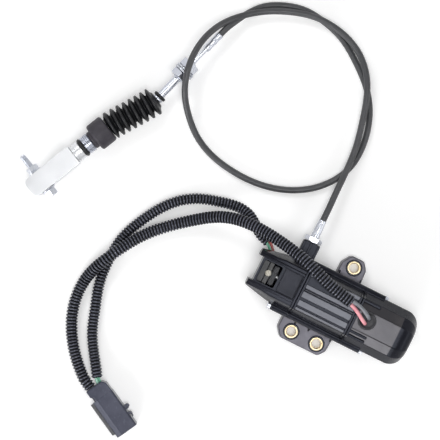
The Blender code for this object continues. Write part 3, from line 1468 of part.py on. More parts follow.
def leads():
    """Bare leads between the tubes' ends and the motor, the sensor and the connector."""
    (pink_x, pink_y), (grey_x, grey_y) = LEAD_HOLES
    deep = AXIS_Z + CAP_R * 0.925 - 0.0010
    pink = [(-0.0198, 0.0082, 0.0578), (-0.0132, 0.0055, 0.0578), (-0.0069, 0.0018, 0.0576)]
    pink = [(GROMMET_X + x, y, z) for x, y, z in pink + [(-0.0028, -0.0006, 0.0572)]]
    pink.append((pink_x, pink_y, 0.0554))
    grey = [(-0.0197, 0.0117, 0.0580), (-0.0119, 0.0104, 0.0580), (-0.0052, 0.0076, 0.0577)]
    grey = [(GROMMET_X + x, y, z) for x, y, z in grey + [(-0.0012, 0.0053, 0.0574)]]
    grey.append((grey_x, grey_y, 0.0554))
    routes = {
        "motor_lead_pink": (pink, (pink_x, pink_y, deep), MOTOR_LEAD_R, PINK_LEAD),
        "motor_lead_grey": (grey, (grey_x, grey_y, deep), MOTOR_LEAD_R, GREY_LEAD),
    }
    colours = {"green": GREEN_LEAD, "red": RED_LEAD}
    for number, (colour, shade) in enumerate(colours.items()):
        z = AXIS_Z + (0.5 - number) * SENSOR_LEAD_SPACING - 0.0004
        route = [
            (-0.0778, 0.0252, z - 0.0004),
            (-0.0744, 0.0226, z - 0.0002),
            (SENSOR_X + 0.0005, 0.0180, z),
        ]
        last = (SENSOR_X + 0.0015, 0.0125, z)
        routes[f"sensor_lead_{colour}"] = (route, last, SENSOR_LEAD_R, shade)
    for name, (route, last, radius, shade) in routes.items():
        points = smooth_route(route, 0.0030) + [Vector(last)]
        finish(tube(points, radius), name, shade, None)


def connector():
    """Connector housing with a stepped rear, side rail, latch lugs and an open socket."""
    frame = empty(
        "connector_axis", (*CONNECTOR_START, CONNECTOR_Z), Matrix.Rotation(CONNECTOR_ANGLE, 3, "Z")
    )
    length = CONNECTOR_LENGTH

    def section(x, width, height):
        w, h = width / 2, height / 2
        return [(x, y, z) for y, z in rounded([(-w, -h), (w, -h), (w, h), (-w, h)], 0.0014, 2)]

    shell = loft(
        [
            section(0.0, CONNECTOR_REAR_WIDTH, CONNECTOR_REAR_HEIGHT),
            section(length * 0.30, CONNECTOR_REAR_WIDTH, CONNECTOR_REAR_HEIGHT),
            section(length * 0.34, CONNECTOR_WIDTH, CONNECTOR_HEIGHT),
            section(length, CONNECTOR_WIDTH, CONNECTOR_HEIGHT),
        ]
    )
    half = CONNECTOR_WIDTH / 2
    rail = box(
        (length - 0.0040 - RAIL_LENGTH, length - 0.0040),
        (-half - RAIL_STAND, -half + 0.0010),
        (-RAIL_HEIGHT / 2, RAIL_HEIGHT / 2),
    )
    join(shell, helper(rail, frame))
    for at in (0.52, 0.70):
        lug_x = length * at
        latch = box((lug_x, lug_x + LATCH_LENGTH), (half - 0.0010, half + LATCH_STAND), (-0.0030, 0.0030))
        join(shell, helper(latch, frame))
    inner_w, inner_h = half - CONNECTOR_WALL, CONNECTOR_HEIGHT / 2 - CONNECTOR_WALL
    socket = box((length - SOCKET_DEPTH, length + 0.0010), (-inner_w, inner_w), (-inner_h, inner_h))
    cut(shell, helper(socket, frame))
    finish(shell, "connector_housing", SLATE_PLASTIC, frame)

    low = length - SOCKET_DEPTH + GAP
    bw, bh = inner_w - 0.0022, inner_h - 0.0018
    block = box((low, low + BLOCK_DEPTH), (-bw, bw), (-bh, bh))
    side = TERMINAL_SIDE / 2
    depth = (low + 0.0020, low + BLOCK_DEPTH + 0.0010)
    for row in range(TERMINAL_ROWS):
        for column in range(TERMINAL_COLUMNS):
            y = (column - (TERMINAL_COLUMNS - 1) / 2) * TERMINAL_PITCH
            z = (row - (TERMINAL_ROWS - 1) / 2) * TERMINAL_PITCH
            cavity = box(depth, (y - side, y + side), (z - side, z + side))
            cut(block, helper(cavity, frame))
    finish(block, "terminal_block", GREY_PLASTIC, frame)


def build():
    drive_head()
    drum_cover()
    gear_housing()
    motor_cap()
    mounting_bushes()
    housing_screws()
    grommet()
    gear_train()
    cable_drum()
    motor()
    sensor()
    start = outlet()
    hub()
    boot()
    yoke(bell_and_collar())
    conduit(start)
    harness_tubes()
    leads()
    connector()


build()
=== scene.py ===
import bmesh
import bpy
import json
import math
import numpy as np
from mathutils import Matrix, Vector

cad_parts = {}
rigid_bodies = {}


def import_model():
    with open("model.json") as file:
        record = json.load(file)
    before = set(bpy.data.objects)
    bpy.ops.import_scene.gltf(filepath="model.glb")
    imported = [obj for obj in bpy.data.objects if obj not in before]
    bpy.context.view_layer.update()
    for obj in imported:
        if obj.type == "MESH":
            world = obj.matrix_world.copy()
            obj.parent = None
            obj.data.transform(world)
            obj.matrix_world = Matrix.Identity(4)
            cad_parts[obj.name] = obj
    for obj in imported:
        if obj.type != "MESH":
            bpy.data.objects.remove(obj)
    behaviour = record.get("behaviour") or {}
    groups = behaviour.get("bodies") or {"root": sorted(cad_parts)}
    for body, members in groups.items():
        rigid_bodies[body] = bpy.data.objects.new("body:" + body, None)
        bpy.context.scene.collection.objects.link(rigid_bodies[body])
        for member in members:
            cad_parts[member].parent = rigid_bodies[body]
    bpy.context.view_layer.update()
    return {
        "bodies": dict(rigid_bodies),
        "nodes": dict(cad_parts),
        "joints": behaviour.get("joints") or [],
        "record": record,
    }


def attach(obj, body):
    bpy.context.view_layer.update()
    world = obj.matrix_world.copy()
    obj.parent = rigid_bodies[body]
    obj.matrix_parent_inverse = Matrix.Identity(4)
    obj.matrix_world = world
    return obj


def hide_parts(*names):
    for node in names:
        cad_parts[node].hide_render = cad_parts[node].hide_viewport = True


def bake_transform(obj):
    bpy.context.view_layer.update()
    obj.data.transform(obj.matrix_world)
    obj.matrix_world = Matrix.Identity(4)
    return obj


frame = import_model()

mm = 0.001
axisZ = 28.0  # height of the motor's axis over the mounting face, mm
gap = 0.3  # clearance between two pieces, mm


# Finishes: two colours that a slow noise mixes, the noise's scale, a gloss span, the grain's scale
# and depth, and what is special

finishes = {
    "mouldedNylon": ((0.0060, 0.0062, 0.0090), (0.0135, 0.0138, 0.0190), 45, (0.20, 0.30), 1500, 0.04,
                     {"specks": 0.05, "shine": 0.15, "tint": (0.78, 0.83, 1.0)}),
    # the crown's bands: the housing nylon in a lighter tone, as a painted sheen on the bands
    "ribbedSheenNylon": ((0.028, 0.028, 0.034), (0.048, 0.049, 0.057), 45, (0.16, 0.24), 1500, 0.02,
                    {"specks": 0.08, "shine": 0.40, "tint": (0.86, 0.89, 1.0)}),
    # the lugs: the housing nylon with real grain, in a lighter tone that is a painted sheen on the lug tops
    "grainedSheenNylon": ((0.042, 0.041, 0.050), (0.070, 0.068, 0.080), 60, (0.26, 0.36), 1500, 0.08,
                     {"specks": 0.08, "shine": 0.55, "tint": (0.90, 0.88, 1.0)}),
    # upward-facing flats of the cap: the housing nylon in a lighter tone, as a painted sheen
    "panelSheenNylon": ((0.022, 0.021, 0.024), (0.052, 0.048, 0.050), 28, (0.16, 0.26), 1500, 0.04,
                   {"specks": 0.08, "shine": 0.34, "tint": (0.94, 0.93, 1.0)}),
    "lidNylon": ((0.012, 0.012, 0.016), (0.021, 0.021, 0.026), 70, (0.34, 0.46), 1900, 0.06,
                 {"specks": 0.05, "shine": 0.24, "tint": (0.80, 0.84, 1.0)}),
    "connectorNylon": ((0.029, 0.031, 0.050), (0.046, 0.048, 0.072), 80, (0.20, 0.30), 1700, 0.05,
                       {"specks": 0.08, "shine": 0.36, "tint": (0.84, 0.87, 1.0)}),
    # the loom tubes' plastic, with its tone raised as a painted sheen on the crests; the finish after it is the same
    # plastic darkened, as painted shade in the grooves
    "loomPlastic": ((0.024, 0.025, 0.036), (0.048, 0.050, 0.068), 60, (0.16, 0.26), 1400, 0.02,
                    {"shine": 0.70, "tint": (0.84, 0.88, 1.0)}),
    "loomGrooveShade": ((0.0018, 0.0019, 0.0030), (0.0040, 0.0042, 0.0062), 60, (0.50, 0.65), 1400, 0.02, {"shine": 0.15}),
    "cableJacket": ((0.040, 0.041, 0.045), (0.062, 0.063, 0.068), 40, (0.34, 0.46), 1300, 0.06, {"shine": 0.45}),
    "bellowsRubber": ((0.0040, 0.0043, 0.0055), (0.0100, 0.0105, 0.0130), 130, (0.34, 0.50), 1200, 0.08,
                      {"shine": 0.35}),
    "bellRubber": ((0.026, 0.023, 0.031), (0.041, 0.037, 0.047), 110, (0.50, 0.64), 1400, 0.12, {"shine": 0.40}),
    "grommetRubber": ((0.014, 0.014, 0.017), (0.030, 0.030, 0.035), 160, (0.44, 0.58), 1500, 0.10, {"shine": 0.40}),
    "zincPlate": ((0.52, 0.54, 0.60), (0.61, 0.63, 0.68), 30, (0.25, 0.31), 2600, 0.008, {"metal": 1, "marks": 1}),
    "yokeZinc": ((0.67, 0.68, 0.70), (0.73, 0.74, 0.76), 30, (0.30, 0.42), 1800, 0.04, {"metal": 1}),
    "dullZinc": ((0.38, 0.40, 0.45), (0.54, 0.56, 0.60), 90, (0.28, 0.42), 2200, 0.04, {"metal": 1}),
    "turnedBrass": ((0.66, 0.53, 0.33), (0.78, 0.68, 0.48), 120, (0.38, 0.50), 2400, 0.03, {"metal": 1}),
    "blackedSteel": ((0.012, 0.012, 0.014), (0.024, 0.024, 0.028), 150, (0.30, 0.42), 2000, 0.05, {"shine": 0.40}),
    "darkSteel": ((0.07, 0.07, 0.08), (0.13, 0.13, 0.14), 150, (0.34, 0.48), 2000, 0.05, {"metal": 1}),
    "brightSteel": ((0.44, 0.45, 0.47), (0.60, 0.61, 0.63), 160, (0.24, 0.38), 2400, 0.03, {"metal": 1}),
    "copperBars": ((0.60, 0.29, 0.16), (0.76, 0.42, 0.26), 220, (0.26, 0.40), 2400, 0.03, {"metal": 1}),
    "ferrite": ((0.045, 0.045, 0.048), (0.09, 0.09, 0.095), 200, (0.55, 0.72), 1600, 0.12, {}),
    "ivoryNylon": ((0.66, 0.62, 0.52), (0.80, 0.77, 0.68), 150, (0.32, 0.46), 1500, 0.05, {}),
    "sensorPlastic": ((0.010, 0.011, 0.016), (0.020, 0.022, 0.030), 60, (0.24, 0.34), 1600, 0.04, {"shine": 0.24}),
}
for tone, darkTone, lightTone in (
    ("pink", (0.72, 0.25, 0.30), (0.84, 0.38, 0.42)), ("grey", (0.15, 0.16, 0.18), (0.24, 0.25, 0.28)),
    ("mint", (0.36, 0.70, 0.55), (0.50, 0.82, 0.68)), ("green", (0.12, 0.42, 0.27), (0.22, 0.58, 0.40)),
    ("red", (0.30, 0.06, 0.06), (0.46, 0.12, 0.10)),
):
    finishes[tone + "Insulation"] = (darkTone, lightTone, 120, (0.26, 0.38), 1800, 0.03, {})


def addNode(tree, kind, sources=None, **values):  # a shader node with inputs linked and set by name
    node = tree.nodes.new("ShaderNode" + kind)
    for name, value in values.items():
        node.inputs[name.replace("_", " ")].default_value = value
    for name, source in (sources or {}).items():
        tree.links.new(source, node.inputs[name])
    return node


def ramp(tree, source, stops):
    node = addNode(tree, "ValToRGB", {"Fac": source})
    for element, (spot, colour) in zip(node.color_ramp.elements, stops):
        element.position = spot
        element.color = (*colour, 1.0)
    return node.outputs["Color"]


def makeFinish(name, dark, light, patchScale, gloss, grainScale, depth, extra):
    finish = bpy.data.materials.new(name)
    finish.use_nodes = True
    tree = finish.node_tree
    shader = tree.nodes["Principled BSDF"]
    shader.inputs["Metallic"].default_value = extra.get("metal", 0.0)
    shader.inputs["Specular IOR Level"].default_value = extra.get("shine", 0.5)
    shader.inputs["Specular Tint"].default_value = (*extra.get("tint", (1, 1, 1)), 1)
    place = {"Vector": addNode(tree, "TexCoord").outputs["Object"]}
    patch = addNode(tree, "TexNoise", place, Scale=patchScale, Detail=5.0)
    colour = ramp(tree, patch.outputs["Fac"], ((0.36, dark), (0.64, light)))
    wear = addNode(tree, "TexNoise", place, Scale=patchScale * 3.0, Detail=8.0, Roughness=0.7)
    rough = addNode(tree, "MapRange", {"Value": wear.outputs["Fac"]}, From_Min=0.3, From_Max=0.7,
                    To_Min=gloss[0], To_Max=gloss[1])
    grain = addNode(tree, "TexNoise", place, Scale=grainScale, Detail=3.0)
    bump = addNode(tree, "Bump", {"Height": grain.outputs["Fac"]}, Strength=depth, Distance=0.0003)
    if "specks" in extra:  # fine pale scuffs on moulded plastic
        scuff = addNode(tree, "TexNoise", place, Scale=420, Detail=6.0)
        pick = ramp(tree, scuff.outputs["Fac"], ((0.66, (0, 0, 0)), (0.78, (extra["specks"],) * 3)))
        mix = tree.nodes.new("ShaderNodeMix")
        mix.data_type = "RGBA"
        tree.links.new(pick, mix.inputs["Factor"])
        tree.links.new(colour, mix.inputs["A"])
        mix.inputs["B"].default_value = (0.20, 0.20, 0.22, 1)
        colour = mix.outputs["Result"]
    if "marks" in extra:  # turning marks across the cable's axis
        turn = addNode(tree, "Mapping", place, Rotation=(0, 0, math.radians(111.0)), Scale=(1.0, 0.02, 0.02))
        lathe = addNode(tree, "TexNoise", {"Vector": turn.outputs["Vector"]}, Scale=2400)
        bump = addNode(tree, "Bump", {"Height": lathe.outputs["Fac"], "Normal": bump.outputs["Normal"]},
                       Strength=0.02, Distance=0.0001)
    tree.links.new(colour, shader.inputs["Base Color"])
    tree.links.new(rough.outputs["Result"], shader.inputs["Roughness"])
    tree.links.new(bump.outputs["Normal"], shader.inputs["Normal"])
    return finish


finish = {name: makeFinish(name, *look) for name, look in finishes.items()}
print("finishes made:", len(finish))


# Small tools for drawing pieces by hand

def at(x, y, z):
    return Vector((x, y, z)) * mm


def alone(piece):  # the only selected object, and the active one
    bpy.ops.object.select_all(action="DESELECT")
    bpy.context.view_layer.objects.active = piece
    piece.select_set(True)


def drawLine(name, points):  # one vertex, extruded from point to point; stays in edit mode
    bpy.ops.object.select_all(action="DESELECT")
    bpy.ops.mesh.primitive_plane_add(size=0.002)
    piece = bpy.context.object
    piece.name = name
    bpy.ops.object.mode_set(mode="EDIT")
    bpy.ops.mesh.merge(type="CENTER")
    bpy.ops.transform.translate(value=points[0])
    for here, there in zip(points, points[1:]):
        bpy.ops.mesh.extrude_region_move(TRANSFORM_OT_translate={"value": there - here})
    return piece


def drawFace(name, points):
    piece = drawLine(name, points)
    bpy.ops.mesh.select_all(action="SELECT")
    bpy.ops.mesh.edge_face_add()
    return piece


def pull(step, scale=None, centre=None):
    bpy.ops.mesh.extrude_region_move(TRANSFORM_OT_translate={"value": step})
    if scale:
        bpy.ops.transform.resize(value=scale, center_override=centre)


def leaveEdit():
    bpy.ops.mesh.select_all(action="SELECT")
    bpy.ops.mesh.normals_make_consistent(inside=False)
    bpy.ops.object.mode_set(mode="OBJECT")


def extruded(name, outline, step):
    piece = drawFace(name, outline)
    pull(step)
    leaveEdit()
    return piece


def spun(name, profile, steps=48, lift=0):  # (radius, height) points in mm, turned about local Z
    points = [at(r, 0, h + lift) for r, h in profile]
    if profile[0][0] > 0:
        points.append(points[0])
    piece = drawLine(name, points)
    bpy.ops.mesh.select_all(action="SELECT")
    bpy.ops.mesh.spin(steps=steps, angle=math.tau, center=(0, 0, 0), axis=(0, 0, 1))
    bpy.ops.mesh.select_all(action="SELECT")
    bpy.ops.mesh.remove_doubles(threshold=1e-6)
    leaveEdit()
    return piece


def bothEnds(lowEnd, length):  # a profile whose upper end mirrors its lower one
    return lowEnd + [(r, length - h) for r, h in reversed(lowEnd)]


def block(name, x, y, z):  # a cube at its size and place, for bevels and cuts
    bpy.ops.object.select_all(action="DESELECT")
    middle = at(x[0] + x[1], y[0] + y[1], z[0] + z[1]) / 2
    size = at(x[1] - x[0], y[1] - y[0], z[1] - z[0])
    bpy.ops.mesh.primitive_cube_add(size=1.0, location=middle, scale=size)
    piece = bpy.context.object
    piece.name = name
    bpy.ops.object.transform_apply(location=True, rotation=True, scale=True)
    return piece


def roundBar(name, radius, low, high, vertices=32):
    bpy.ops.object.select_all(action="DESELECT")
    bpy.ops.mesh.primitive_cylinder_add(
        vertices=vertices, radius=radius * mm, depth=(high - low) * mm,
        location=at(0, 0, (low + high) / 2))
    bpy.ops.object.transform_apply(location=True, rotation=True, scale=True)
    bpy.context.object.name = name
    return bpy.context.object


def moved(piece, x, y, z, about=None):  # shifted, after a quarter turn about an axis where one is named
    turn = Matrix.Rotation(math.radians(90), 4, about) if about else Matrix()
    piece.data.transform(Matrix.Translation(at(x, y, z)) @ turn)
    return piece


def turned(piece, degrees):
    piece.data.transform(Matrix.Rotation(math.radians(degrees), 4, "Z"))
    return piece


def apply(piece, kind, **settings):
    alone(piece)
    change = piece.modifiers.new(kind.lower(), kind)
    for key, value in settings.items():
        setattr(change, key, value)
    bpy.ops.object.modifier_apply(modifier=change.name)
    return piece


def bevel(piece, width, segments=2, angle=35):
    return apply(piece, "BEVEL", width=width * mm, segments=segments, limit_method="ANGLE",
                 angle_limit=math.radians(angle), miter_outer="MITER_ARC")


def cutWith(piece, *cutters, operation="DIFFERENCE"):
    for cutter in cutters:
        apply(piece, "BOOLEAN", operation=operation, object=cutter, solver="EXACT")
        bpy.data.objects.remove(cutter)
    return piece


def paint(pieces, look):
    for piece in pieces:
        piece.data.materials.clear()
        piece.data.materials.append(finish[look])
    return pieces


def joined(name, pieces):
    bpy.ops.object.select_all(action="DESELECT")
    for piece in pieces:
        piece.select_set(True)
    bpy.context.view_layer.objects.active = pieces[0]
    bpy.ops.object.join()
    bpy.context.object.name = name
    return bpy.context.object


def roundCorners(corners, radius, steps=4):
    points = []
    for i, corner in enumerate(corners):
        here = Vector(corner)
        before, after = Vector(corners[i - 1]) - here, Vector(corners[(i + 1) % len(corners)]) - here
        shortest = min(before.length, after.length)
        before.normalize()
        after.normalize()
        half = before.angle(after) / 2
        reach = min(radius / math.tan(half), 0.48 * shortest)
        bow = reach * math.tan(half)
        middle = here + (before + after).normalized() * (bow / math.sin(half))
        start, end = here + before * reach, here + after * reach
        for k in range(steps + 1):
            points.append(tuple(middle + (start - middle).slerp(end - middle, k / steps).normalized() * bow))
    return points


def mirroredOutline(half):
    return half + [(-y, z) for y, z in reversed(half) if y > 1e-6]


def section(outline, x):  # (y, z) points about the motor's axis, set up at x
    return [at(x, y, axisZ + z) for y, z in outline]


def heading(degrees):
    return Vector((math.cos(math.radians(degrees)), math.sin(math.radians(degrees)), 0))


def axisPlace(point, way):  # local Z along the way, local Y level
    z = Vector(way).normalized()
    y = Vector((0, 0, 1)).cross(z).normalized()
    return Matrix.Translation(point) @ Matrix((y.cross(z), y, z)).transposed().to_4x4()


def dress(piece, name, look, slot, node=None, body="housing", smooth=38, ride=True):
    alone(piece)
    piece.name = name
    piece.data.name = name
    bpy.ops.object.shade_smooth_by_angle(angle=math.radians(smooth))
    apply(piece, "WEIGHTED_NORMAL", keep_sharp=True)
    if not piece.data.materials:
        piece.data.materials.append(finish[look])
    if ride:
        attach(piece, body)
    if node:
        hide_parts(node)
    return piece


def dressAt(place, piece, *looks, **settings):
    piece.data.transform(place)
    return dress(piece, *looks, **settings)


# Camera and studio

camera = {"place": (-0.1281, 0.0242, 1.612), "roll": 26.5, "lens": 138.6}
studio = {"dome": 0.34, "floorSize": 6.0, "lampAim": (-0.06, 0.02, 0.02), "lamps": [  # name, place, watts, size
    ("overheadSoft", (0.11, -0.12, 1.44), 7.4, 0.56, 0.56), ("keyLight", (-0.85, 0.60, 0.95), 3.8, 0.50, 0.35),
    ("lowStrip", (-0.32, -1.15, 0.52), 10.0, 1.30, 0.30), ("rimStrip", (0.95, 0.35, 0.60), 1.8, 0.90, 0.25)]}


def setCamera():
    bpy.ops.object.camera_add(location=camera["place"], rotation=(0, 0, math.radians(camera["roll"])))
    view = bpy.context.object
    view.name = "photoCamera"
    view.data.lens = camera["lens"]
    view.data.sensor_width = 36.0
    view.data.clip_start = 0.05
    bpy.context.scene.camera = view


def whiteForView(tree, dim, bright):  # one strength for straight and mirrored looks, another for the light
    path = addNode(tree, "LightPath")
    seen = path.outputs["Is Camera Ray"]
    for ray in ("Is Glossy Ray", "Is Transmission Ray"):
        either = addNode(tree, "Math", {0: seen, 1: path.outputs[ray]})
        either.operation = "MAXIMUM"
        seen = either.outputs[0]
    return addNode(tree, "MapRange", {"Value": seen}, To_Min=dim, To_Max=bright)


def setWorld():
    world = bpy.data.worlds.new("studioWorld")
    world.use_nodes = True
    bpy.context.scene.world = world
    tree = world.node_tree
    back = tree.nodes["Background"]
    back.inputs["Color"].default_value = (1, 1, 1, 1)
    place = addNode(tree, "TexCoord")
    height = addNode(tree, "SeparateXYZ", {"Vector": place.outputs["Generated"]})
    fall = addNode(tree, "MapRange", {"Value": height.outputs["Z"]}, From_Min=0.45, From_Max=0.90,
                   To_Min=1.0, To_Max=0.45)  # white near the horizon, dimmer overhead
    strength = whiteForView(tree, studio["dome"], 1.0)
    tree.links.new(fall.outputs["Result"], strength.inputs["To Max"])
    tree.links.new(strength.outputs["Result"], back.inputs["Strength"])


def setLamps():
    for name, spot, power, width, height in studio["lamps"]:
        way = Vector(studio["lampAim"]) - Vector(spot)
        bpy.ops.object.light_add(type="AREA", location=spot, rotation=way.to_track_quat("-Z", "Y").to_euler())
        lamp = bpy.context.object
        lamp.name = name
        lamp.data.shape = "RECTANGLE"
        lamp.data.energy = power
        lamp.data.size = width
        lamp.data.size_y = height


def setFloor():
    bpy.ops.object.select_all(action="DESELECT")
    bpy.ops.mesh.primitive_plane_add(size=studio["floorSize"], location=(0, 0, -0.0002))
    floor = bpy.context.object
    floor.name = "paleFloor"
    paper = bpy.data.materials.new("paperFloor")
    paper.use_nodes = True
    tree = paper.node_tree
    diffuse = tree.nodes["Principled BSDF"]
    diffuse.inputs["Base Color"].default_value = (0.93, 0.93, 0.93, 1)
    diffuse.inputs["Roughness"].default_value = 0.9
    diffuse.inputs["Specular IOR Level"].default_value = 0.1
    glow = addNode(tree, "Emission", {"Strength": whiteForView(tree, 0.0, 0.20).outputs["Result"]})
    both = addNode(tree, "AddShader", {0: diffuse.outputs["BSDF"], 1: glow.outputs["Emission"]})
    tree.links.new(both.outputs["Shader"], tree.nodes["Material Output"].inputs["Surface"])
    floor.data.materials.append(paper)


setCamera()
setWorld()
setLamps()
setFloor()
bpy.context.scene.view_settings.view_transform = "Standard"
print("camera and studio set")


# Cords

def runAlong(points):  # a line's points as an array, and the distance run at each
    fine = np.array(points, float)
    return fine, np.concatenate([[0.0], np.cumsum(np.linalg.norm(np.diff(fine, axis=0), axis=1))])


def pointsAt(points, stops):  # points of a fine line at these distances along it
    fine, run = runAlong(points)
    return [Vector([np.interp(s, run, fine[:, i]) for i in range(3)]) for s in stops]


def lengthOf(points):
    return float(runAlong(points)[1][-1])


def evenSteps(points, spacing):
    length = lengthOf(points)
    return pointsAt(points, np.linspace(0.0, length, max(4, round(length / spacing) + 1)))


def smoothRoute(points, spacing):  # even steps on the natural cubic through the points
    p, t = runAlong(points)
    h = np.diff(t)
    n = len(p)
    system, right = np.eye(n), np.zeros((n, 3))
    for i in range(1, n - 1):
        system[i, i - 1:i + 2] = h[i - 1], 2 * (h[i - 1] + h[i]), h[i]
        right[i] = 6 * ((p[i + 1] - p[i]) / h[i] - (p[i] - p[i - 1]) / h[i - 1])
    bend = np.linalg.solve(system, right)
    along = np.linspace(0.0, t[-1], 4000)
    k = np.clip(np.searchsorted(t, along) - 1, 0, n - 2)
    a = ((t[k + 1] - along) / h[k])[:, None]
    b = 1 - a
    fine = a * p[k] + b * p[k + 1]
    fine += ((a**3 - a) * bend[k] + (b**3 - b) * bend[k + 1]) * (h[k] ** 2)[:, None] / 6
    return evenSteps(fine, spacing)


def ringFrames(points):  # each point with a side and an up direction, carried along without twist
    frames = []
    side = None
    for i, here in enumerate(points):
        ahead, behind = points[min(i + 1, len(points) - 1)], points[max(i - 1, 0)]
        way = (ahead - behind).normalized()
        if side is None:
            side = Vector((0, 0, 1)).cross(way).normalized()
        side = (side - way * side.dot(way)).normalized()
        frames.append((here, side, way.cross(side)))
    return frames


def ringAt(frame, angles, radii):
    here, side, up = frame
    return [here + side * math.cos(a) * r + up * math.sin(a) * r for a, r in zip(angles, radii)]


def circle(sides):
    return [math.tau * k / sides for k in range(sides)]


def skin(name, rings, closed=True):  # a mesh through rings of equal count
    shape = bmesh.new()
    loops = [[shape.verts.new(p) for p in ring] for ring in rings]
    for low, high in zip(loops, loops[1:]):
        for i in range(len(low)):
            shape.faces.new((low[i - 1], low[i], high[i], high[i - 1]))
    if closed:
        shape.faces.new(loops[0])
        shape.faces.new(loops[-1])
    bmesh.ops.recalc_face_normals(shape, faces=shape.faces)
    mesh = bpy.data.meshes.new(name)
    shape.to_mesh(mesh)
    shape.free()
    piece = bpy.data.objects.new(name, mesh)
    bpy.context.collection.objects.link(piece)
    return piece


def sweep(name, points, radius, sides):
    return skin(name, [ringAt(f, circle(sides), [radius * mm] * sides) for f in ringFrames(points)])


cable = {
    "radius": 3.05, "seat": 8.7, "step": 4.0, "mouth": (-40.9, 66.9, 14.0),
    "hub": (-205.9, 180.7, 14.3), "hubAngle": -107.9,
    "route": [(-41.1, 83.0, 13.3), (-41.5, 98.0, 11.7), (-41.9, 119.0, 9.9), (-43.7, 143.0, 9.4),
              (-49.2, 168.0, 9.4), (-57.5, 194.5, 9.8), (-69.4, 213.8, 9.5), (-87.5, 228.0, 9.5),
              (-111.0, 235.4, 9.7), (-133.0, 236.0, 9.7), (-156.0, 230.0, 9.5), (-178.0, 219.5, 9.7),
              (-193.5, 208.0, 10.8), (-207.0, 193.0, 16.2), (-215.5, 176.0, 22.2), (-219.0, 158.0, 27.0),
              (-218.5, 141.5, 28.4), (-215.0, 126.0, 25.8), (-208.5, 112.0, 17.6), (-198.5, 99.2, 8.5),
              (-184.0, 86.2, 3.6), (-164.0, 76.2, 3.3), (-138.0, 71.0, 3.3), (-112.0, 71.0, 3.3),
              (-88.0, 76.5, 3.3), (-66.0, 88.0, 3.3), (-49.0, 105.0, 3.3), (-39.5, 125.0, 3.3),
              (-38.0, 147.0, 3.3), (-43.5, 172.0, 3.3), (-58.0, 196.5, 3.3), (-79.5, 215.8, 3.3),
              (-101.3, 229.8, 3.3), (-124.0, 236.8, 3.3), (-145.0, 238.5, 3.3), (-166.0, 233.0, 3.3),
              (-181.5, 224.0, 3.3), (-191.0, 213.0, 5.0), (-198.0, 200.0, 11.2)],
}
hubPoint, hubWay = at(*cable["hub"]), heading(cable["hubAngle"])


def layCable():
    mouth, out = at(*cable["mouth"]), Vector((0, 1, 0))
    path = [mouth, mouth + out * 6 * mm] + [at(*p) for p in cable["route"]]
    path += [hubPoint - hubWay * 7 * mm, hubPoint]
    step, seat = cable["step"] * mm, cable["seat"] * mm
    points = evenSteps([mouth - out * seat] + smoothRoute(path, step) + [hubPoint + hubWay * seat], step)
    sheath = sweep("cableSheath", points, cable["radius"], 24)
    dress(sheath, "cableSheath", "cableJacket", "conduit_jacket", "cable_conduit")
    print("cable laid, metres:", round(lengthOf(points), 3))


loom = {
    "crest": 5.35, "groove": 4.15, "wall": 3.60, "pitch": 3.08, "hollow": 7.0, "slit": 0.55, "sides": 22,
    "rib": [(0.07, "groove", 0), (0.13, "crest", -0.58), (0.22, "crest", -0.18), (0.34, "crest", 0),
            (0.52, "crest", 0), (0.64, "crest", -0.18), (0.73, "crest", -0.58), (0.79, "groove", 0)],
    "motorGirth": 1.09,
    "motorRoute": [(14.0, 10.4, 58.4), (-4.0, 14.0, 59.1), (-23.0, 19.5, 59.1), (-42.0, 25.8, 56.3),
                   (-62.0, 30.2, 49.3), (-84.0, 33.0, 41.2), (-106.0, 33.0, 33.0), (-129.0, 27.0, 22.0),
                   (-149.0, 14.0, 12.2), (-168.8, -2.5, 7.6), (-188.0, -23.0, 10.7), (-199.0, -40.0, 15.7),
                   (-204.5, -50.0, 17.3), (-210.5, -62.0, 15.5), (-217.0, -82.0, 8.2), (-217.0, -105.0, 6.0),
                   (-209.0, -129.0, 6.0), (-199.0, -145.0, 6.2), (-184.3, -160.9, 7.6)],
    "sensorRoute": [(-78.5, 26.0, 27.0), (-88.5, 29.5, 24.5), (-99.0, 37.0, 18.5), (-109.0, 42.0, 13.8),
                    (-122.0, 42.5, 9.8), (-136.0, 39.5, 6.8), (-151.0, 35.0, 5.5), (-168.0, 25.5, 5.5),
                    (-185.2, 6.5, 5.5), (-194.6, -9.9, 5.5), (-200.2, -22.2, 5.5), (-204.3, -36.0, 5.5),
                    (-205.6, -52.9, 5.5), (-205.2, -69.3, 5.5), (-202.3, -85.8, 5.5), (-196.5, -104.0, 5.5),
                    (-189.0, -125.0, 5.5), (-178.3, -142.8, 6.0), (-172.0, -151.6, 7.6), (-166.7, -159.4, 8.8)],
}
plug = {"start": (-164.3, -168.5, 8.8), "angle": -27.8, "length": 52.8, "rearWidth": 19.8, "rearHeight": 15.6,
        "width": 22.2, "height": 16.4, "shoulder": 13.1, "socketDepth": 18.0, "wall": 1.8}
plugWay = heading(plug["angle"])
plugSide = Vector((-plugWay.y, plugWay.x, 0)) * plug["rearWidth"] / 4 * mm


def ribProfile(total, ribs, girth):  # (distance, radius) along the tube, with the bore of each cut end
    lip, wall = loom["groove"] * girth * mm, loom["wall"] * mm
    bore = [(loom["hollow"] * mm, wall * 0.2), (loom["hollow"] * mm, wall), (0.0, wall)]
    pitch = total / ribs
    outside = [((rib + share) * pitch, (loom[level] + less) * girth * mm)
               for rib in range(ribs) for share, level, less in loom["rib"]]
    return bore + [(0.0, lip)] + outside + [(total, lip)] + [(total - s, r) for s, r in reversed(bore)]


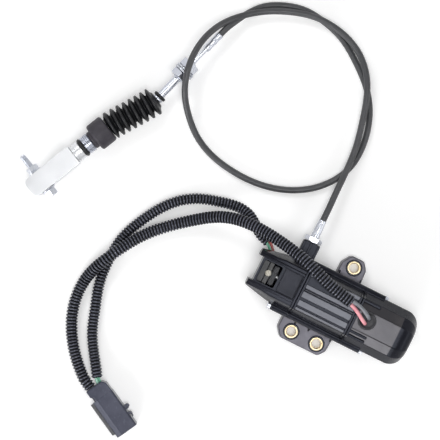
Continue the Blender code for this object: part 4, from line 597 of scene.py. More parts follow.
def corrugatedTube(name, line, node, girth=1.0):
    total = lengthOf(line)
    ribs = max(4, round(total / (loom["pitch"] * mm)))
    stops, radii = zip(*ribProfile(total, ribs, girth))
    fine = evenSteps(line, 0.0005)
    frames, last = ringFrames(fine), len(fine) - 1
    start, slitEnd, sides = -math.pi / 2, math.radians(4), loom["sides"]
    angles = [start, start + slitEnd]
    angles += [start + math.radians(4 + 352 * k / sides) for k in range(1, sides + 1)]
    rings = []
    for stop, here, radius in zip(stops, pointsAt(fine, stops), radii):
        deep = radius - (loom["slit"] * mm if radius > loom["wall"] * mm else 0.0)
        _, side, up = frames[min(last, round(stop / total * last))]
        rings.append(ringAt((here, side, up), angles, [deep] + [radius] * (sides + 1)))
    tube = skin(name, rings)
    tube.data.materials.append(finish["loomPlastic"])
    tube.data.materials.append(finish["loomGrooveShade"])
    shallow = (loom["crest"] - 0.5) * girth * mm
    spans = [low < shallow or high < shallow for low, high in zip(radii, radii[1:])]
    # faces of the groove spans take the second, darker finish: painted shade in the grooves
    for face in tube.data.polygons:
        span = face.index // len(angles)
        face.material_index = 1 if span < len(spans) and spans[span] else 0
    dress(tube, name, "loomPlastic", "black_plastic", node, smooth=50)
    print(name, "ribs:", ribs, "metres:", round(total, 3))


def harnessLines():
    face = at(*plug["start"]) - plugSide - plugWay * gap * mm
    motorLine = smoothRoute([at(*p) for p in loom["motorRoute"]] + [face - plugWay * 10 * mm], 0.004) + [face]
    sensorLine = smoothRoute([at(*p) for p in loom["sensorRoute"]], 0.004)
    sensorLine.append(sensorLine[-1] + (sensorLine[-1] - sensorLine[-2]).normalized() * 2.2 * mm)
    return motorLine, sensorLine


leads = {
    "motorRadius": 1.75, "sensorRadius": 1.3, "leastCord": 0.0302,  # a shorter lead is no cord
    "pinkRoute": [(14.6, 8.2, 57.8), (21.2, 5.5, 57.8), (27.5, 1.8, 57.6), (31.6, -0.6, 57.2), (33.4, -1.5, 55.4)],
    "greyRoute": [(14.7, 11.7, 58.0), (22.5, 10.4, 58.0), (29.2, 7.6, 57.7), (33.2, 5.3, 57.4), (34.8, 4.1, 55.4)],
    "sensorRoute": [(-77.8, 25.2, 27.2), (-74.4, 22.6, 27.4), (-71.0, 18.0, 27.6), (-70.0, 12.5, 27.6)],
}


def lead(name, points, radius, look, slot, node=None):
    path = smoothRoute(points, 0.0015)
    wire = sweep(name, path, radius, 16)
    dress(wire, name, look, slot, node)


def runLeads(motorLine, sensorLine):
    for colour, drop in (("pink", at(0, -1.8, -0.2)), ("grey", at(0, 1.8, -0.1))):
        points = [p + drop for p in reversed(motorLine[1:5])] + [at(*p) for p in leads[colour + "Route"]]
        points.append(points[-1] - at(0, 0, 2.6))
        lead(colour + "MotorLead", points, leads["motorRadius"], colour + "Insulation", colour + "_lead",
             "motor_lead_" + colour)
    thin = leads["sensorRadius"]
    for colour, side in (("green", -0.5), ("red", 0.5)):
        points = [p - at(0, 0, side * 3.0) for p in reversed(sensorLine[1:5])]
        points += [at(*p) + at(0.86, 0.51, 0) * side * 2.9 for p in leads["sensorRoute"]]
        lead(colour + "SensorLead", points, thin, colour + "Insulation", colour + "_lead", "sensor_lead_" + colour)
    across = plugSide.normalized() * 1.35 * mm
    points = sensorLine[-5:] + [at(*plug["start"]) + plugSide * 0.9 + plugWay * 1.5 * mm]
    lead("greenPlugLead", [p + across for p in points], thin, "greenInsulation", "green_lead", "connector_lead")
    lead("mintPlugLead", [p - across for p in points], thin, "mintInsulation", "green_lead")
    print("leads run")


layCable()
motorLine, sensorLine = harnessLines()
corrugatedTube("motorLoomTube", motorLine, "motor_harness_tube", loom["motorGirth"])
corrugatedTube("sensorLoomTube", sensorLine, "sensor_harness_tube")
runLeads(motorLine, sensorLine)


# Cable end: ferrule, hub, nuts, bellows, cap and yoke

endFitting = {
    "yokeAngle": -114.8, "sealToCap": (-30.3, -47.8), "threadStart": 38.0, "nutsEnd": 56.9,
    "supportEnd": 81.4, "bootStart": 83.2, "nutFlats": 17.0, "nutLengths": (7.7, 6.3), "washer": 2.0,
}
endPoint = hubPoint + hubWay * endFitting["supportEnd"] * mm + at(*endFitting["sealToCap"], 0)
yokeWay = heading(endFitting["yokeAngle"])
hubPlace, endPlace = axisPlace(hubPoint, hubWay), axisPlace(endPoint, yokeWay)


def threadProfile(low, high, radius, pitch, depth):  # (radius, height) zigzag of a thread
    count = max(1, round((high - low) / pitch))
    step = (high - low) / count
    return [(radius - less, low + (k + share) * step) for k in range(count)
            for share, less in ((0.06, depth), (0.38, 0), (0.60, 0), (0.94, depth))]


def hexNut(name, flats, low, high, bore, turn=0):
    corner, length = flats / math.sqrt(3), high - low
    nut = turned(roundBar(name, corner, low, high, vertices=6), turn)
    rim = [(0, 0), (flats / 2 * 0.96, 0), (corner * 1.002, (corner - flats / 2) * 0.62)]
    cutWith(nut, spun("blank", bothEnds(rim, length), 64, low), operation="INTERSECT")
    hole = bothEnds([(0, -1), (bore + 0.5, -1), (bore + 0.5, 0), (bore, 0.5)], length)
    cutWith(nut, spun("hole", hole, 32, low))
    return bevel(nut, 0.12, 1, 30)


def buildHub():
    f = endFitting
    crimp = spun("crimp", [(2.7, 20), (2.7, 9), (3.25, 9), (3.25, 0), (3.45, 0), (3.7, 0.35), (3.7, 3.4),
                           (3.42, 4.0), (3.42, 7.0), (3.7, 7.6), (3.7, 10.6), (3.42, 11.2), (3.42, 14.2),
                           (3.7, 14.8), (3.7, 17.8), (3.45, 18.4), (3.2, 20)])
    crimp.data.transform(hubPlace)
    dress(bevel(crimp, 0.12, 2, 25), "crimpFerrule", "zincPlate", "zinc", "crimp_ferrule")
    low, high = f["threadStart"], f["nutsEnd"]
    hub = spun("hub", [(1.7, 9.3), (2.4, 9.3), (2.4, low - 2.6), (3.4, low - 1.4), (4.2, low - 1.2)]
               + threadProfile(low - 0.9, high + 1.2, 5.0, 1.25, 0.55)
               + [(4.2, high + 1.5), (2.9, high + 1.6), (1.7, high - 4)])
    dressAt(hubPlace, hub, "threadedHub", "zincPlate", "zinc", "threaded_hub")
    first, second = f["nutLengths"]
    nuts = [hexNut("lockNut", f["nutFlats"], low, low + first, 5.0, 30)]
    start = low + first + gap
    for number in (1, 2):
        ring = spun("washer", bothEnds([(5.3, 0), (9.5, 0), (9.8, 0.3)], f["washer"]), 56, start)
        top = start + f["washer"]
        if number == 1:  # spring washer: split and a little open
            cutWith(ring, turned(block("slit", (4, 12), (-0.3, 0.3), (start - 1, top + 1)), -160))
        ring.data.transform(hubPlace)
        dress(bevel(ring, 0.15, 2, 30), f"lockWasher{number}", "dullZinc", "zinc", f"lock_washer_{number}")
        start = top + gap
    nuts.append(hexNut("lockNut", f["nutFlats"], start, start + second, 5.0, 30))
    for number, nut in enumerate(nuts, 1):
        dressAt(hubPlace, nut, f"lockNut{number}", "zincPlate", "zinc", f"lock_nut_{number}", smooth=25)
    length = f["bootStart"] + 3.2 - high - 1.9
    tube = spun("support", bothEnds([(2.2, 0), (3.55, 0), (3.75, 0.2)], length), 40, high + 1.9)
    dressAt(hubPlace, tube, "supportTube", "zincPlate", "zinc", "support_tube")
    seal = spun("seal", bothEnds([(4.05, 0), (5.5, 0), (6.1, 0.4), (6.35, 1.0)], 3.0), 40, f["supportEnd"] - 1.5)
    dressAt(hubPlace, seal, "dustSeal", "bellowsRubber", "black_rubber", "dust_seal", smooth=60)
    clamp = spun("clamp", bothEnds([(4.95, 0), (5.3, 0), (5.5, 0.3)], 1.6), 40, f["bootStart"] + 0.4)
    dressAt(hubPlace, clamp, "bellowsClamp", "zincPlate", "zinc", "bellows_clamp_ring")
    print("hub built")


bellows = {
    "pleats": 8, "pitch": 6.3, "tip": 14.0, "valley": 8.8, "neck": 3.2, "neckRadius": 4.65, "wall": 1.1, "sides": 48,
    "fold": [(0.00, 0.0), (0.06, 0.02), (0.14, 0.26), (0.27, 0.76), (0.33, 0.91), (0.40, 0.98), (0.50, 1.0),
             (0.60, 0.98), (0.67, 0.91), (0.73, 0.76), (0.86, 0.26), (0.94, 0.02)],
}


def bowPath(start, startWay, end, endWay, count, pull=0.15):
    reach = (end - start).length * pull
    handles = (start, start + startWay * reach, end - endWay * reach, end)
    made = []
    for t in (k / (count - 1) for k in range(count)):
        s = 1 - t
        shares = (s**3, 3 * s * s * t, 3 * s * t * t, t**3)
        made.append(sum((h * w for h, w in zip(handles, shares)), Vector((0, 0, 0))))
    return made


def bellowsProfile():  # (distance, radius), out along the pleats and back inside
    b = bellows
    length = b["neck"] + b["pleats"] * b["pitch"]
    outside = [(0.0, b["neckRadius"]), (2.1, b["neckRadius"]), (2.3, 7.6), (2.7, 8.3), (b["neck"], 8.7)]
    for pleat in range(b["pleats"]):
        for share, rise in b["fold"][pleat == 0:]:
            outside.append((b["neck"] + (pleat + share) * b["pitch"], b["valley"] + (b["tip"] - b["valley"]) * rise))
    outside.append((length, b["valley"]))
    inside = [(s, r - b["wall"]) for s, r in outside[7::3]]
    inside = [(2.4, 4.05), (3.4, 7.0)] + inside + [(length, b["valley"] - b["wall"])]
    return [(0.0, 4.05)] + outside + inside[::-1], length


def buildBellows():
    start = hubPoint + hubWay * endFitting["bootStart"] * mm
    end = endPoint - yokeWay * gap * mm
    path = evenSteps(bowPath(start, hubWay, end, yokeWay, 200), 0.0002)
    profile, length = bellowsProfile()
    frames, last, sides = ringFrames(path), len(path) - 1, bellows["sides"]
    rings = [ringAt(frames[min(last, round(s / length * last))], circle(sides), [r * mm] * sides) for s, r in profile]
    boot = skin("bellowsBoot", rings + [rings[0]], closed=False)
    alone(boot)
    bpy.ops.object.mode_set(mode="EDIT")
    bpy.ops.mesh.select_all(action="SELECT")
    bpy.ops.mesh.remove_doubles(threshold=1e-6)
    leaveEdit()
    dress(boot, "bellowsBoot", "bellowsRubber", "black_rubber", "bellows", smooth=70, ride=False)
    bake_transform(boot)
    inner = [start - hubWay * 11.8 * mm] + bowPath(start, hubWay, endPoint + yokeWay * 5 * mm, yokeWay, 40)
    wire = sweep("innerWire", inner, 1.4, 16)
    dress(wire, "innerWire", "brightSteel", "steel", "inner_wire", smooth=60, ride=False)
    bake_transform(wire)
    print("bellows built")


bell = {"radius": 13.7, "length": 17.0, "lip": 8.85, "lipLength": 3.5, "round": 2.4}
ringStack = {"radius": 9.5, "ring": 7.7, "oRing": 3.3, "collar": 9.0, "collarLength": 8.7}


def buildEndStack():  # returns the height at which the yoke starts
    R, L, c = bell["radius"], bell["length"], bell["round"]
    lip, lipEnd = bell["lip"], L + bell["lipLength"]
    corner = [(R - c + c * math.sin(a), c - c * math.cos(a)) for a in (0, 0.39, 0.79, 1.18, math.pi / 2)]
    shape = [(1.7, 0), (R - c - 2.5, 0), (R - c - 2.2, 0.25)] + corner[1:] + [(R, L * 0.5)]
    shape += [(r, L - h) for r, h in reversed(corner)]
    shape += [(lip + 0.5, L), (lip, L + 0.4), (lip, lipEnd - 0.5), (lip - 0.5, lipEnd), (1.7, lipEnd)]
    dressAt(endPlace, spun("bell", shape, 64), "bellowsBell", "bellRubber", "black_rubber", "bellows_cap",
            body="cable_end", smooth=50)
    low = lipEnd + gap
    high = low + ringStack["ring"]
    R = ringStack["radius"]
    ring = spun("ring", [(3.8, low), (R - 0.8, low), (R - 0.4, low + 0.4)]
                + threadProfile(low + 0.6, high - 0.6, R, 1.5, 0.7)
                + [(R - 0.4, high - 0.4), (R - 0.8, high), (3.8, high)], 64)
    dressAt(endPlace, ring, "threadedRing", "zincPlate", "zinc", "end_ring", body="cable_end")
    low, high = high + gap, high + gap + ringStack["oRing"]
    half = (high - low) / 2
    soft = [(R - half + half * math.cos(a), (low + high) / 2 + half * math.sin(a))
            for a in np.linspace(-math.pi / 2, math.pi / 2, 9)]
    o = spun("oRing", [(3.8, low)] + soft + [(3.8, high)], 64)
    dressAt(endPlace, o, "endORing", "bellowsRubber", "black_rubber", "end_o_ring", body="cable_end", smooth=60)
    low, high = high + gap, high + gap + ringStack["collarLength"]
    R = ringStack["collar"]
    collar = spun("collar", [(3.8, low), (R - 0.4, low), (R, low + 0.4), (R, high - 3.4), (R - 0.9, high - 3.1),
                             (R - 0.9, high - 1.9), (R, high - 1.6), (R, high - 0.3), (R - 0.3, high),
                             (3.8, high)], 64)
    dressAt(endPlace, collar, "yokeCollar", "yokeZinc", "zinc", "end_collar", body="cable_end")
    print("end stack built")
    return high + gap


fork = {"length": 53.0, "width": 19.5, "height": 18.0, "ear": 4.0, "slot": 38.0, "web": 3.5, "boltFromEnd": 14.0,
        "bolt": 3.0, "stud": 13.5, "nutFlats": 10.0, "nutLength": 6.6, "flange": 7.0}


def buildYoke(face):
    f = fork
    half, high, end = f["width"] / 2, f["height"] / 2, face + f["length"]
    plan = roundCorners([(-half, face), (-half, end), (half, end), (half, face)], 6.0, 8)
    plan = [(-half, face)] + [p for p in plan if p[1] > face + 6.5] + [(half, face)]  # only the far corners round
    body = extruded("yoke", [at(-high, y, z) for y, z in plan], at(2 * high, 0, 0))
    inner, start = half - f["ear"], end - f["slot"]
    pocket = roundCorners([(-inner, start), (-inner, end + 12), (inner, end + 12), (inner, start)], 3.0, 6)
    boltZ = end - f["boltFromEnd"]
    cutWith(body, extruded("slot", [at(-high + f["web"], y, z) for y, z in pocket], at(2 * high, 0, 0)),
            moved(roundBar("hole", f["bolt"] + gap, -half - 2, half + 2), 0, 0, boltZ, "X"))
    bevel(body, 0.7, 3, 50)
    stud = roundBar("stud", 3.5, bell["length"] + bell["lipLength"] + 1, face + 1, 24)
    body = joined("yoke", [body, bevel(stud, 0.3, 1)])
    dressAt(endPlace, body, "yokeFork", "yokeZinc", "zinc", "yoke", body="cable_end", smooth=30)
    seat, thick, wide = half + gap, f["bolt"], f["flange"]
    top = seat + f["nutLength"] + f["stud"]
    bolt = spun("bolt", [(0, -seat - 1.4), (thick, -seat - 1.4), (thick, seat - 2)]
                + threadProfile(seat - 1.5, top - 0.9, thick, 1.0, 0.42) + [(thick - 0.8, top), (0, top)], 32)
    bolthead = hexNut("head", f["nutFlats"] + 0.6, -seat - 7.6, -seat - 0.9, 0.01, 30)
    plate = spun("flange", [(0, -2.4), (4.6, -2.4), (wide - 0.3, -1.3), (wide, -0.9), (wide, -0.1), (wide - 0.2, 0),
                            (0, 0)], 40, -seat)
    bolt = joined("bolt", [bolt, bolthead, plate])
    nut = hexNut("nut", f["nutFlats"], seat, seat + f["nutLength"], thick + 0.05)
    skirt = spun("skirt", [(thick + 0.3, 0), (wide, 0), (wide, 0.9), (wide - 0.5, 1.3), (4.7, 2.6),
                           (thick + 0.3, 2.6)], 40, seat)
    nut = joined("nut", [nut, skirt])
    for piece, name, node in ((bolt, "yokeBolt", "yoke_bolt"), (nut, "flangeNut", "yoke_nut")):
        moved(piece, 0, 0, boltZ, "X")
        dressAt(endPlace, piece, name, "zincPlate", "zinc", node, body="cable_end", smooth=28)
    print("yoke built")


buildHub()
buildBellows()
buildYoke(buildEndStack())


# Motor: three moulded shells

shell = {
    "seam1": -32.1, "seam2": 22.3, "head": 48.8, "cap": 58.6, "top": 23.12, "half": 23.52, "bottom": -27.4,
    "panel": 19.0, "bandWidth": 2.4, "bandRise": 2.0, "bore": 20.72, "screwY": 26.2, "screwBay": 4.4,
    "rail": {"inner": 19.6, "outer": 29.6, "high": 8.5, "round": 3.8, "groove": 1.0},
    "grooves": [(-15.0, 0.8), (-7.2, 1.3), (0.6, 0.45), (2.6, 0.45), (10.9, 3.9)],  # middle and half width
}


def bodyHalf(topHalf, top, side, bottomHalf):
    return [(topHalf, top), (side, top * 0.45), (side, shell["bottom"] * 0.55), (bottomHalf, shell["bottom"])]


def bandPiece(low):
    half = bodyHalf(shell["panel"], shell["top"] + shell["bandRise"], shell["half"] + 0.4, shell["half"])
    band = extruded("band", section(mirroredOutline(half), low), at(shell["bandWidth"], 0, 0))
    return bevel(band, 0.55, 3, 30)


def railPieces(low, high):
    r = shell["rail"]
    top = r["high"]
    bow = [(r["outer"] - r["round"] * (1 - math.sin(a)), top - r["round"] * (1 - math.cos(a)))
           for a in (0, 0.31, 0.63, 0.94, 1.26, math.pi / 2)]
    groove = bow[0][0] - 1.3
    half = [(r["inner"], -top)] + [(y, -z) for y, z in bow] + bow[::-1]
    half += [(groove + 0.5, top), (groove + 0.25, top - r["groove"]), (groove - 0.25, top - r["groove"]),
             (groove - 0.5, top), (r["inner"], top)]
    return [bevel(extruded("rail", section([(side * y, z) for y, z in half], low), at(high - low, 0, 0)), 0.35, 2, 30)
            for side in (-1, 1)]


def screwBays(piece, low, high):  # room for the screws, cut along both sides
    for side in (-1, 1):
        bay = roundBar("bay", shell["screwBay"], low, high, 40)
        cutWith(piece, moved(bay, 0, side * shell["screwY"], axisZ, "Y"))


lugs = {"tipY": 50.1, "height": 9.5, "draft": 1.3, "round": 5.8, "holeX": 5.6, "spacing": 26.4, "holeY": 40.0,
        "bush": 6.3, "bore": 4.45, "bushHeight": 11.2, "rim": 7.9}
holePlaces = [(lugs["holeX"] - lugs["spacing"], -lugs["holeY"]), (lugs["holeX"], -lugs["holeY"]),
              (lugs["holeX"], lugs["holeY"])]


def lugPiece(corners):
    xs, ys = [x for x, _ in corners], [y for _, y in corners]
    root = min(ys, key=abs)
    half, reach = (max(xs) - min(xs)) / 2, abs(max(ys, key=abs) - root)
    lug = drawFace("lug", [at(x, y, 0) for x, y in roundCorners(corners, lugs["round"], 6)])
    taper = (1 - lugs["draft"] / half, 1 - lugs["draft"] * 0.4 / reach, 1)
    pull(at(0, 0, lugs["height"]), taper, at((max(xs) + min(xs)) / 2, root, lugs["height"]))
    leaveEdit()
    return bevel(lug, 0.9, 3, 45)


def ribbedCrown(low, length):
    s = shell
    rise = s["top"] + s["bandRise"] * 0.6
    edge = [(-s["panel"] + 0.8, rise)]
    for middle, half in s["grooves"]:
        floor = rise - min(2.3, 2 * half)
        edge += [(middle - half - 0.2, rise), (middle - half, floor), (middle + half, floor),
                 (middle + half + 0.2, rise)]
    edge += [(s["panel"] - 0.8, rise), (s["panel"], s["top"] - 1.5), (-s["panel"], s["top"] - 1.5)]
    crown = bevel(extruded("crown", section(edge, low), at(length, 0, 0)), 0.22, 2, 30)
    # the bands take the lighter finish, a painted sheen; the lower faces get the dark body finish below
    paint([crown], "ribbedSheenNylon")
    crown.data.materials.append(finish["mouldedNylon"])
    for face in crown.data.polygons:  # groove floors and lower faces take the dark body finish: painted shade in the grooves
        if face.center.z < (axisZ + rise - 0.5) * mm:
            face.material_index = 1
    return crown


def buildGearHousing():
    s = shell
    low, high = s["seam1"], s["seam2"] - gap
    outline = mirroredOutline(bodyHalf(s["panel"], s["top"] - 1.0, s["half"], s["half"] - 3.0))
    body = bevel(extruded("gearBody", section(outline, low), at(high - low, 0, 0)), 1.2, 3, 20)
    cutWith(body, moved(roundBar("bore", s["bore"], low + 3.6, high + 2, 64), 0, 0, axisZ, "Y"))
    crown = ribbedCrown(low + s["bandWidth"] - 0.2, high - low - 2 * s["bandWidth"] + 0.4)
    parts = [body, crown, bandPiece(low), bandPiece(high - s["bandWidth"])] + railPieces(low, high)
    root, x, y, tip = s["half"] - 6.0, lugs["holeX"], lugs["holeY"], lugs["tipY"]
    left, right = x - lugs["spacing"] - 14.6, x + 13.2
    lower = lugPiece([(left, -root), (left, -y - 1.5), (left + 6.5, -tip), (right - 6.5, -tip),
                      (right - 1.2, -y - 3.0), (right, -root)])
    upper = lugPiece([(x - 14.0, root), (x - 13.8, y + 0.5), (x - 7.5, tip), (x + 7.0, tip), (x + 12.6, y + 2.6),
                      (x + 14.0, root)])
    hole, rim = lugs["bush"] + gap, lugs["rim"]
    for hx, hy in holePlaces:
        edge = spun("rim", [(hole, 8.0), (rim, 8.0), (rim, 10.1), (rim - 0.4, 10.5), (hole, 10.5)])
        parts.append(moved(edge, hx, hy, 0))
        cutWith(upper if hy > 0 else lower, moved(roundBar("hole", hole, -1, 12, 48), hx, hy, 0))
    # the lugs take the lighter grained finish: real grain, plus a painted sheen in its lighter tone
    parts += paint([upper, lower], "grainedSheenNylon")
    web = [(s["half"] - 3.0, 8.5), (s["half"] - 3.0, 18.5), (s["half"] + 4.5, 18.5), (s["half"] + 9.5, 9.0)]
    for ribX, side in ((left + 13.5, -1), (x - 13.2, -1), (right - 3.4, -1), (x - 11.6, 1), (x + 10.4, 1)):
        rib = extruded("gusset", [at(ribX, side * wy, wz) for wy, wz in web], at(1.6, 0, 0))
        parts.append(bevel(rib, 0.35, 2, 30))
    paint([part for part in parts if not part.data.materials], "mouldedNylon")
    housing = joined("gearHousingShell", parts)
    dress(housing, "gearHousingShell", "mouldedNylon", "black_plastic", "gear_housing", smooth=30)
    inner, outer, top = lugs["bore"], lugs["bush"], lugs["bushHeight"]
    for number, (hx, hy) in enumerate(holePlaces, 1):
        bush = spun("bush", [(inner, 0.5), (inner + 0.5, 0), (outer - 0.4, 0), (outer, 0.4), (outer, top - 0.4),
                             (outer - 0.4, top), (inner + 0.6, top), (inner, top - 0.6)], 56)
        dress(moved(bush, hx, hy, 0), f"mountingBush{number}", "turnedBrass", "brass", f"mounting_bush_{number}")
    print("gear housing built")


rearCap = {"radius": 26.8, "topHalf": 10.4, "shoulderHalf": 19.3, "round": 12.5, "rail": 20.0, "roundness": 25.6,
           "shrink": 0.42, "flat": 0.58, "well": (34.4, 1.5), "wellRadius": 6.3,
           "ribs": [(-19.2, -16.4, 21.4), (-14.9, -11.9, 24.0), (15.4, 19.0, 21.9)]}


def capBody(start, end):  # facets that melt into a dome at the end
    c = rearCap
    R = c["radius"]
    half = [(c["topHalf"], R * 0.925), (c["shoulderHalf"], R * 0.70), (R, R * 0.20), (R, -R * 0.36),
            (c["shoulderHalf"], -R * 0.70), (c["topHalf"], -R * 0.925)]
    outline = [Vector(p) for p in roundCorners(mirroredOutline(half), 2.6, 5)]
    straight = end - c["round"]
    stations = [(x, 1.0, 0.0) for x in (start, start + 20, start + 40, straight - 3)]
    for k in range(10):
        turn = math.radians(10 * k)
        scale, melt = 1 - c["shrink"] * (1 - math.cos(turn)), 0.85 * min(1.0, k / 6)
        stations.append((straight + c["round"] * math.sin(turn), scale, melt))
    rings = []
    for x, scale, melt in stations:
        ring = [p.lerp(p.normalized() * c["roundness"], melt) * scale for p in outline]
        rings.append(section(ring, x))
    rim = rings[-1]
    for inset in (0.55, 0.40, 0.2):  # the flat end, closed in rings
        rings.append([Vector((end * mm, p.y * inset / c["flat"],
                              (p.z - axisZ * mm) * inset / c["flat"] + axisZ * mm)) for p in rim])
    return skin("capBody", rings)


def buildMotorCap():
    s, c = shell, rearCap
    start, end = s["seam2"], s["seam2"] + s["cap"]
    straight = end - c["round"]
    cup = capBody(start, end)
    cutWith(cup, moved(roundBar("bore", s["bore"] + 0.3, start - 1, straight - 0.2, 64), 0, 0, axisZ, "Y"))
    screwBays(cup, start + c["rail"], end + 1)
    cutWith(cup, moved(roundBar("well", c["wellRadius"], axisZ + 15, axisZ + 30, 40), *c["well"], 0))
    paint([cup], "mouldedNylon")
    cup.data.materials.append(finish["panelSheenNylon"])
    for face in cup.data.polygons:  # upward-facing flats on top take the lighter second finish: painted sheen
        if face.normal.z > 0.75 and face.center.z > (axisZ + 17) * mm and face.center.x < (straight - 2.0) * mm:
            face.material_index = 1
    parts = [cup, bandPiece(start)] + railPieces(start, start + c["rail"])
    for low, high, top in c["ribs"]:
        rib = block("rib", (start + 0.5, start + c["rail"] - 0.8), (low, high),
                    (axisZ + c["radius"] * 0.60, axisZ + top))
        parts.append(bevel(rib, 1.1, 4))
    paint(parts[1:], "mouldedNylon")
    body = joined("motorCapShell", parts)
    dress(body, "motorCapShell", "mouldedNylon", "black_plastic", "motor_cap", smooth=32)
    print("motor cap built")


head = {"tipHalf": 18.5, "tipTop": 20.1, "channel": 12.0, "channelDepth": 5.0, "overhang": 4.6, "pocketHalf": 10.8,
        "pocketWall": 1.8, "pocketLength": 18.5, "tower": 17.5, "lidLength": 18.5, "lidThickness": 1.8,
        "bossWidth": 17.0, "bossTip": 43.9, "outletX": -40.9, "outletZ": 14.0,
        "outletFlats": 15.0, "outletNut": 5.0, "bossRoot": 16.5, "chamber": 17.5, "chamberEnd": -46.9}


def headBody(start, middle, end):
    s, h = shell, head
    tip = mirroredOutline(bodyHalf(15.0, h["tipTop"], h["tipHalf"], h["tipHalf"] - 2.0))
    full = mirroredOutline(bodyHalf(18.0, s["top"], s["half"], s["half"] - 3.0))
    body = bevel(skin("headBody", [section(tip, start), section(full, middle), section(full, end)]), 1.0, 3, 25)
    channelZ, high = axisZ + s["top"] - h["channelDepth"], axisZ + s["top"] + 5
    far, wide, lip = start - 1, h["channel"], start + h["overhang"]
    wall = lip + h["pocketWall"]
    channel = block("channel", (far, s["seam1"] - s["bandWidth"] - 0.7), (-wide, wide), (channelZ, high))
    notch = block("notch", (far, lip), (-wide, wide), (-1, high))
    pocket = block("pocket", (wall, wall + h["pocketLength"]), (-h["pocketHalf"], h["pocketHalf"]),
                   (axisZ - 11.6, high))
    window = block("window", (lip + 2.8, lip + 10), (h["pocketHalf"] - 1, s["half"]), (axisZ - 5.2, axisZ + 4.6))
    chamber = moved(roundBar("chamber", h["chamber"], h["chamberEnd"], s["seam1"] + 1, 48), 0, 0, axisZ, "Y")
    cutWith(body, channel, notch, bevel(pocket, 1.6, 4), window, chamber)
    screwBays(body, start - 1, s["seam1"] - h["tower"])
    return body


def bossPieces():
    h = head
    b, x, z = h["bossWidth"] / 2, h["outletX"], h["outletZ"]
    square = roundCorners([(-b, -b), (b, -b), (b, b), (-b, b)], 1.8, 4)
    root = h["bossRoot"]
    boss = extruded("boss", [at(x + across, root, z + up) for across, up in square], at(0, h["bossTip"] - root, 0))
    bevel(boss, 0.8, 3, 40)
    made = [cutWith(boss, moved(roundBar("hole", 3.4, -60, 0), x, 0, z, "X"))]
    for left in (-b + 0.2, -1.6, b - 2.6):  # raised ribs on top
        rib = block("rib", (x + left, x + left + 2.4), (20, h["bossTip"] - 1.0), (z + b - 0.6, z + b + 0.8))
        made.append(bevel(rib, 0.45, 3))
    return made


def buildDriveHead():
    s, h = shell, head
    start, end = s["seam1"] - s["head"], s["seam1"] - gap
    middle = s["seam1"] - s["head"] / 2
    parts = [headBody(start, middle, end), bandPiece(end - s["bandWidth"])] + railPieces(s["seam1"] - h["tower"], end)
    for side in (-1, 1):  # rims along both flanges, and a lower step outside each
        for inner, outer, tipZ, fullZ in ((12.0, 15.0, 20.9, 23.9), (15.0, 17.6, 19.6, 22.4)):
            low = [(side * inner, tipZ - 3), (side * inner, tipZ), (side * (outer - 0.6), tipZ),
                   (side * outer, tipZ - 0.9), (side * outer, tipZ - 3)]
            up = [(y, z + fullZ - tipZ) for y, z in low]
            rim = skin("rim", [section(low, start), section(up, middle), section(up, end - s["bandWidth"] + 0.2)])
            parts.append(bevel(rim, 0.4, 2, 25))
    shellPiece = joined("driveHeadShell", parts + bossPieces())
    dress(shellPiece, "driveHeadShell", "mouldedNylon", "black_plastic", "drive_head_housing", smooth=30)
    print("drive head built")


def buildLid():
    s, h = shell, head
    low, far = s["seam1"] - s["bandWidth"] - h["lidLength"] - gap, s["seam1"] - s["bandWidth"] - 1.0
    half = h["channel"] - gap
    seat = axisZ + s["top"] - h["channelDepth"] + gap
    plate = roundCorners([(low, -half), (far, -half), (far, half), (low, half)], 1.2, 4)
    lid = drawFace("lid", [at(x, y, seat) for x, y in plate])
    pull(at(0, 0, h["lidThickness"]))
    bpy.ops.mesh.inset(thickness=1.1 * mm)
    bpy.ops.transform.translate(value=at(0, 0, -0.45))
    leaveEdit()
    dress(bevel(lid, 0.22, 2, 25), "drumCoverLid", "lidNylon", "black_plastic", "drum_cover")


screwShape = [(0, -20), (2.0, -20), (2.0, 0.3), (3.8, 0.3), (4.0, 0.5), (4.0, 1.1), (3.8, 1.3), (3.3, 1.3),
              (3.5, 1.6), (3.5, 2.9), (3.1, 3.5), (2.2, 3.9), (0, 3.9)]  # shank, washer and rounded head


def shortScrews():
    for kind, face, way in (("head", shell["seam1"] - head["tower"], -1),
                            ("cap", shell["seam2"] + rearCap["rail"], 1)):
        for number, side in ((1, -1), (2, 1)):
            screw = spun("screw", screwShape, 40)
            cutWith(screw, block("slot", (-2.2, 2.2), (-0.45, 0.45), (2.7, 5)),
                    block("slot", (-0.45, 0.45), (-2.2, 2.2), (2.7, 5)))
            dressAt(axisPlace(at(face, side * shell["screwY"], axisZ), (way, 0, 0)), screw, f"{kind}Screw{number}",
                    "zincPlate", "zinc", f"{kind}_screw_{number}", smooth=30)


def buildOutlet():
    h = head
    place = axisPlace(at(h["outletX"], 0, h["outletZ"]), (0, 1, 0))
    face = h["bossTip"] + gap
    nut = hexNut("nut", h["outletFlats"], face, face + h["outletNut"], 3.4)
    dressAt(place, nut, "outletNut", "zincPlate", "zinc", "outlet_nut", smooth=25)
    start = face + h["outletNut"] + gap
    end = start + 17.4
    ferrule = spun("ferrule", [
        (1.3, 35.9), (3.0, 35.9), (3.0, start), (4.0, start), (4.2, start + 0.2), (4.2, start + 3.2),
        (3.95, start + 3.6), (3.95, start + 4.6), (4.15, start + 5.0), (3.85, end - 4.0), (3.62, end - 3.6),
        (3.62, end - 2.4), (3.75, end - 2.0), (3.7, end - 0.3), (3.5, end), (3.25, end), (3.25, end - 9.0),
        (1.3, end - 9.0)])
    dressAt(place, ferrule, "outletFerrule", "zincPlate", "zinc", "outlet_ferrule")


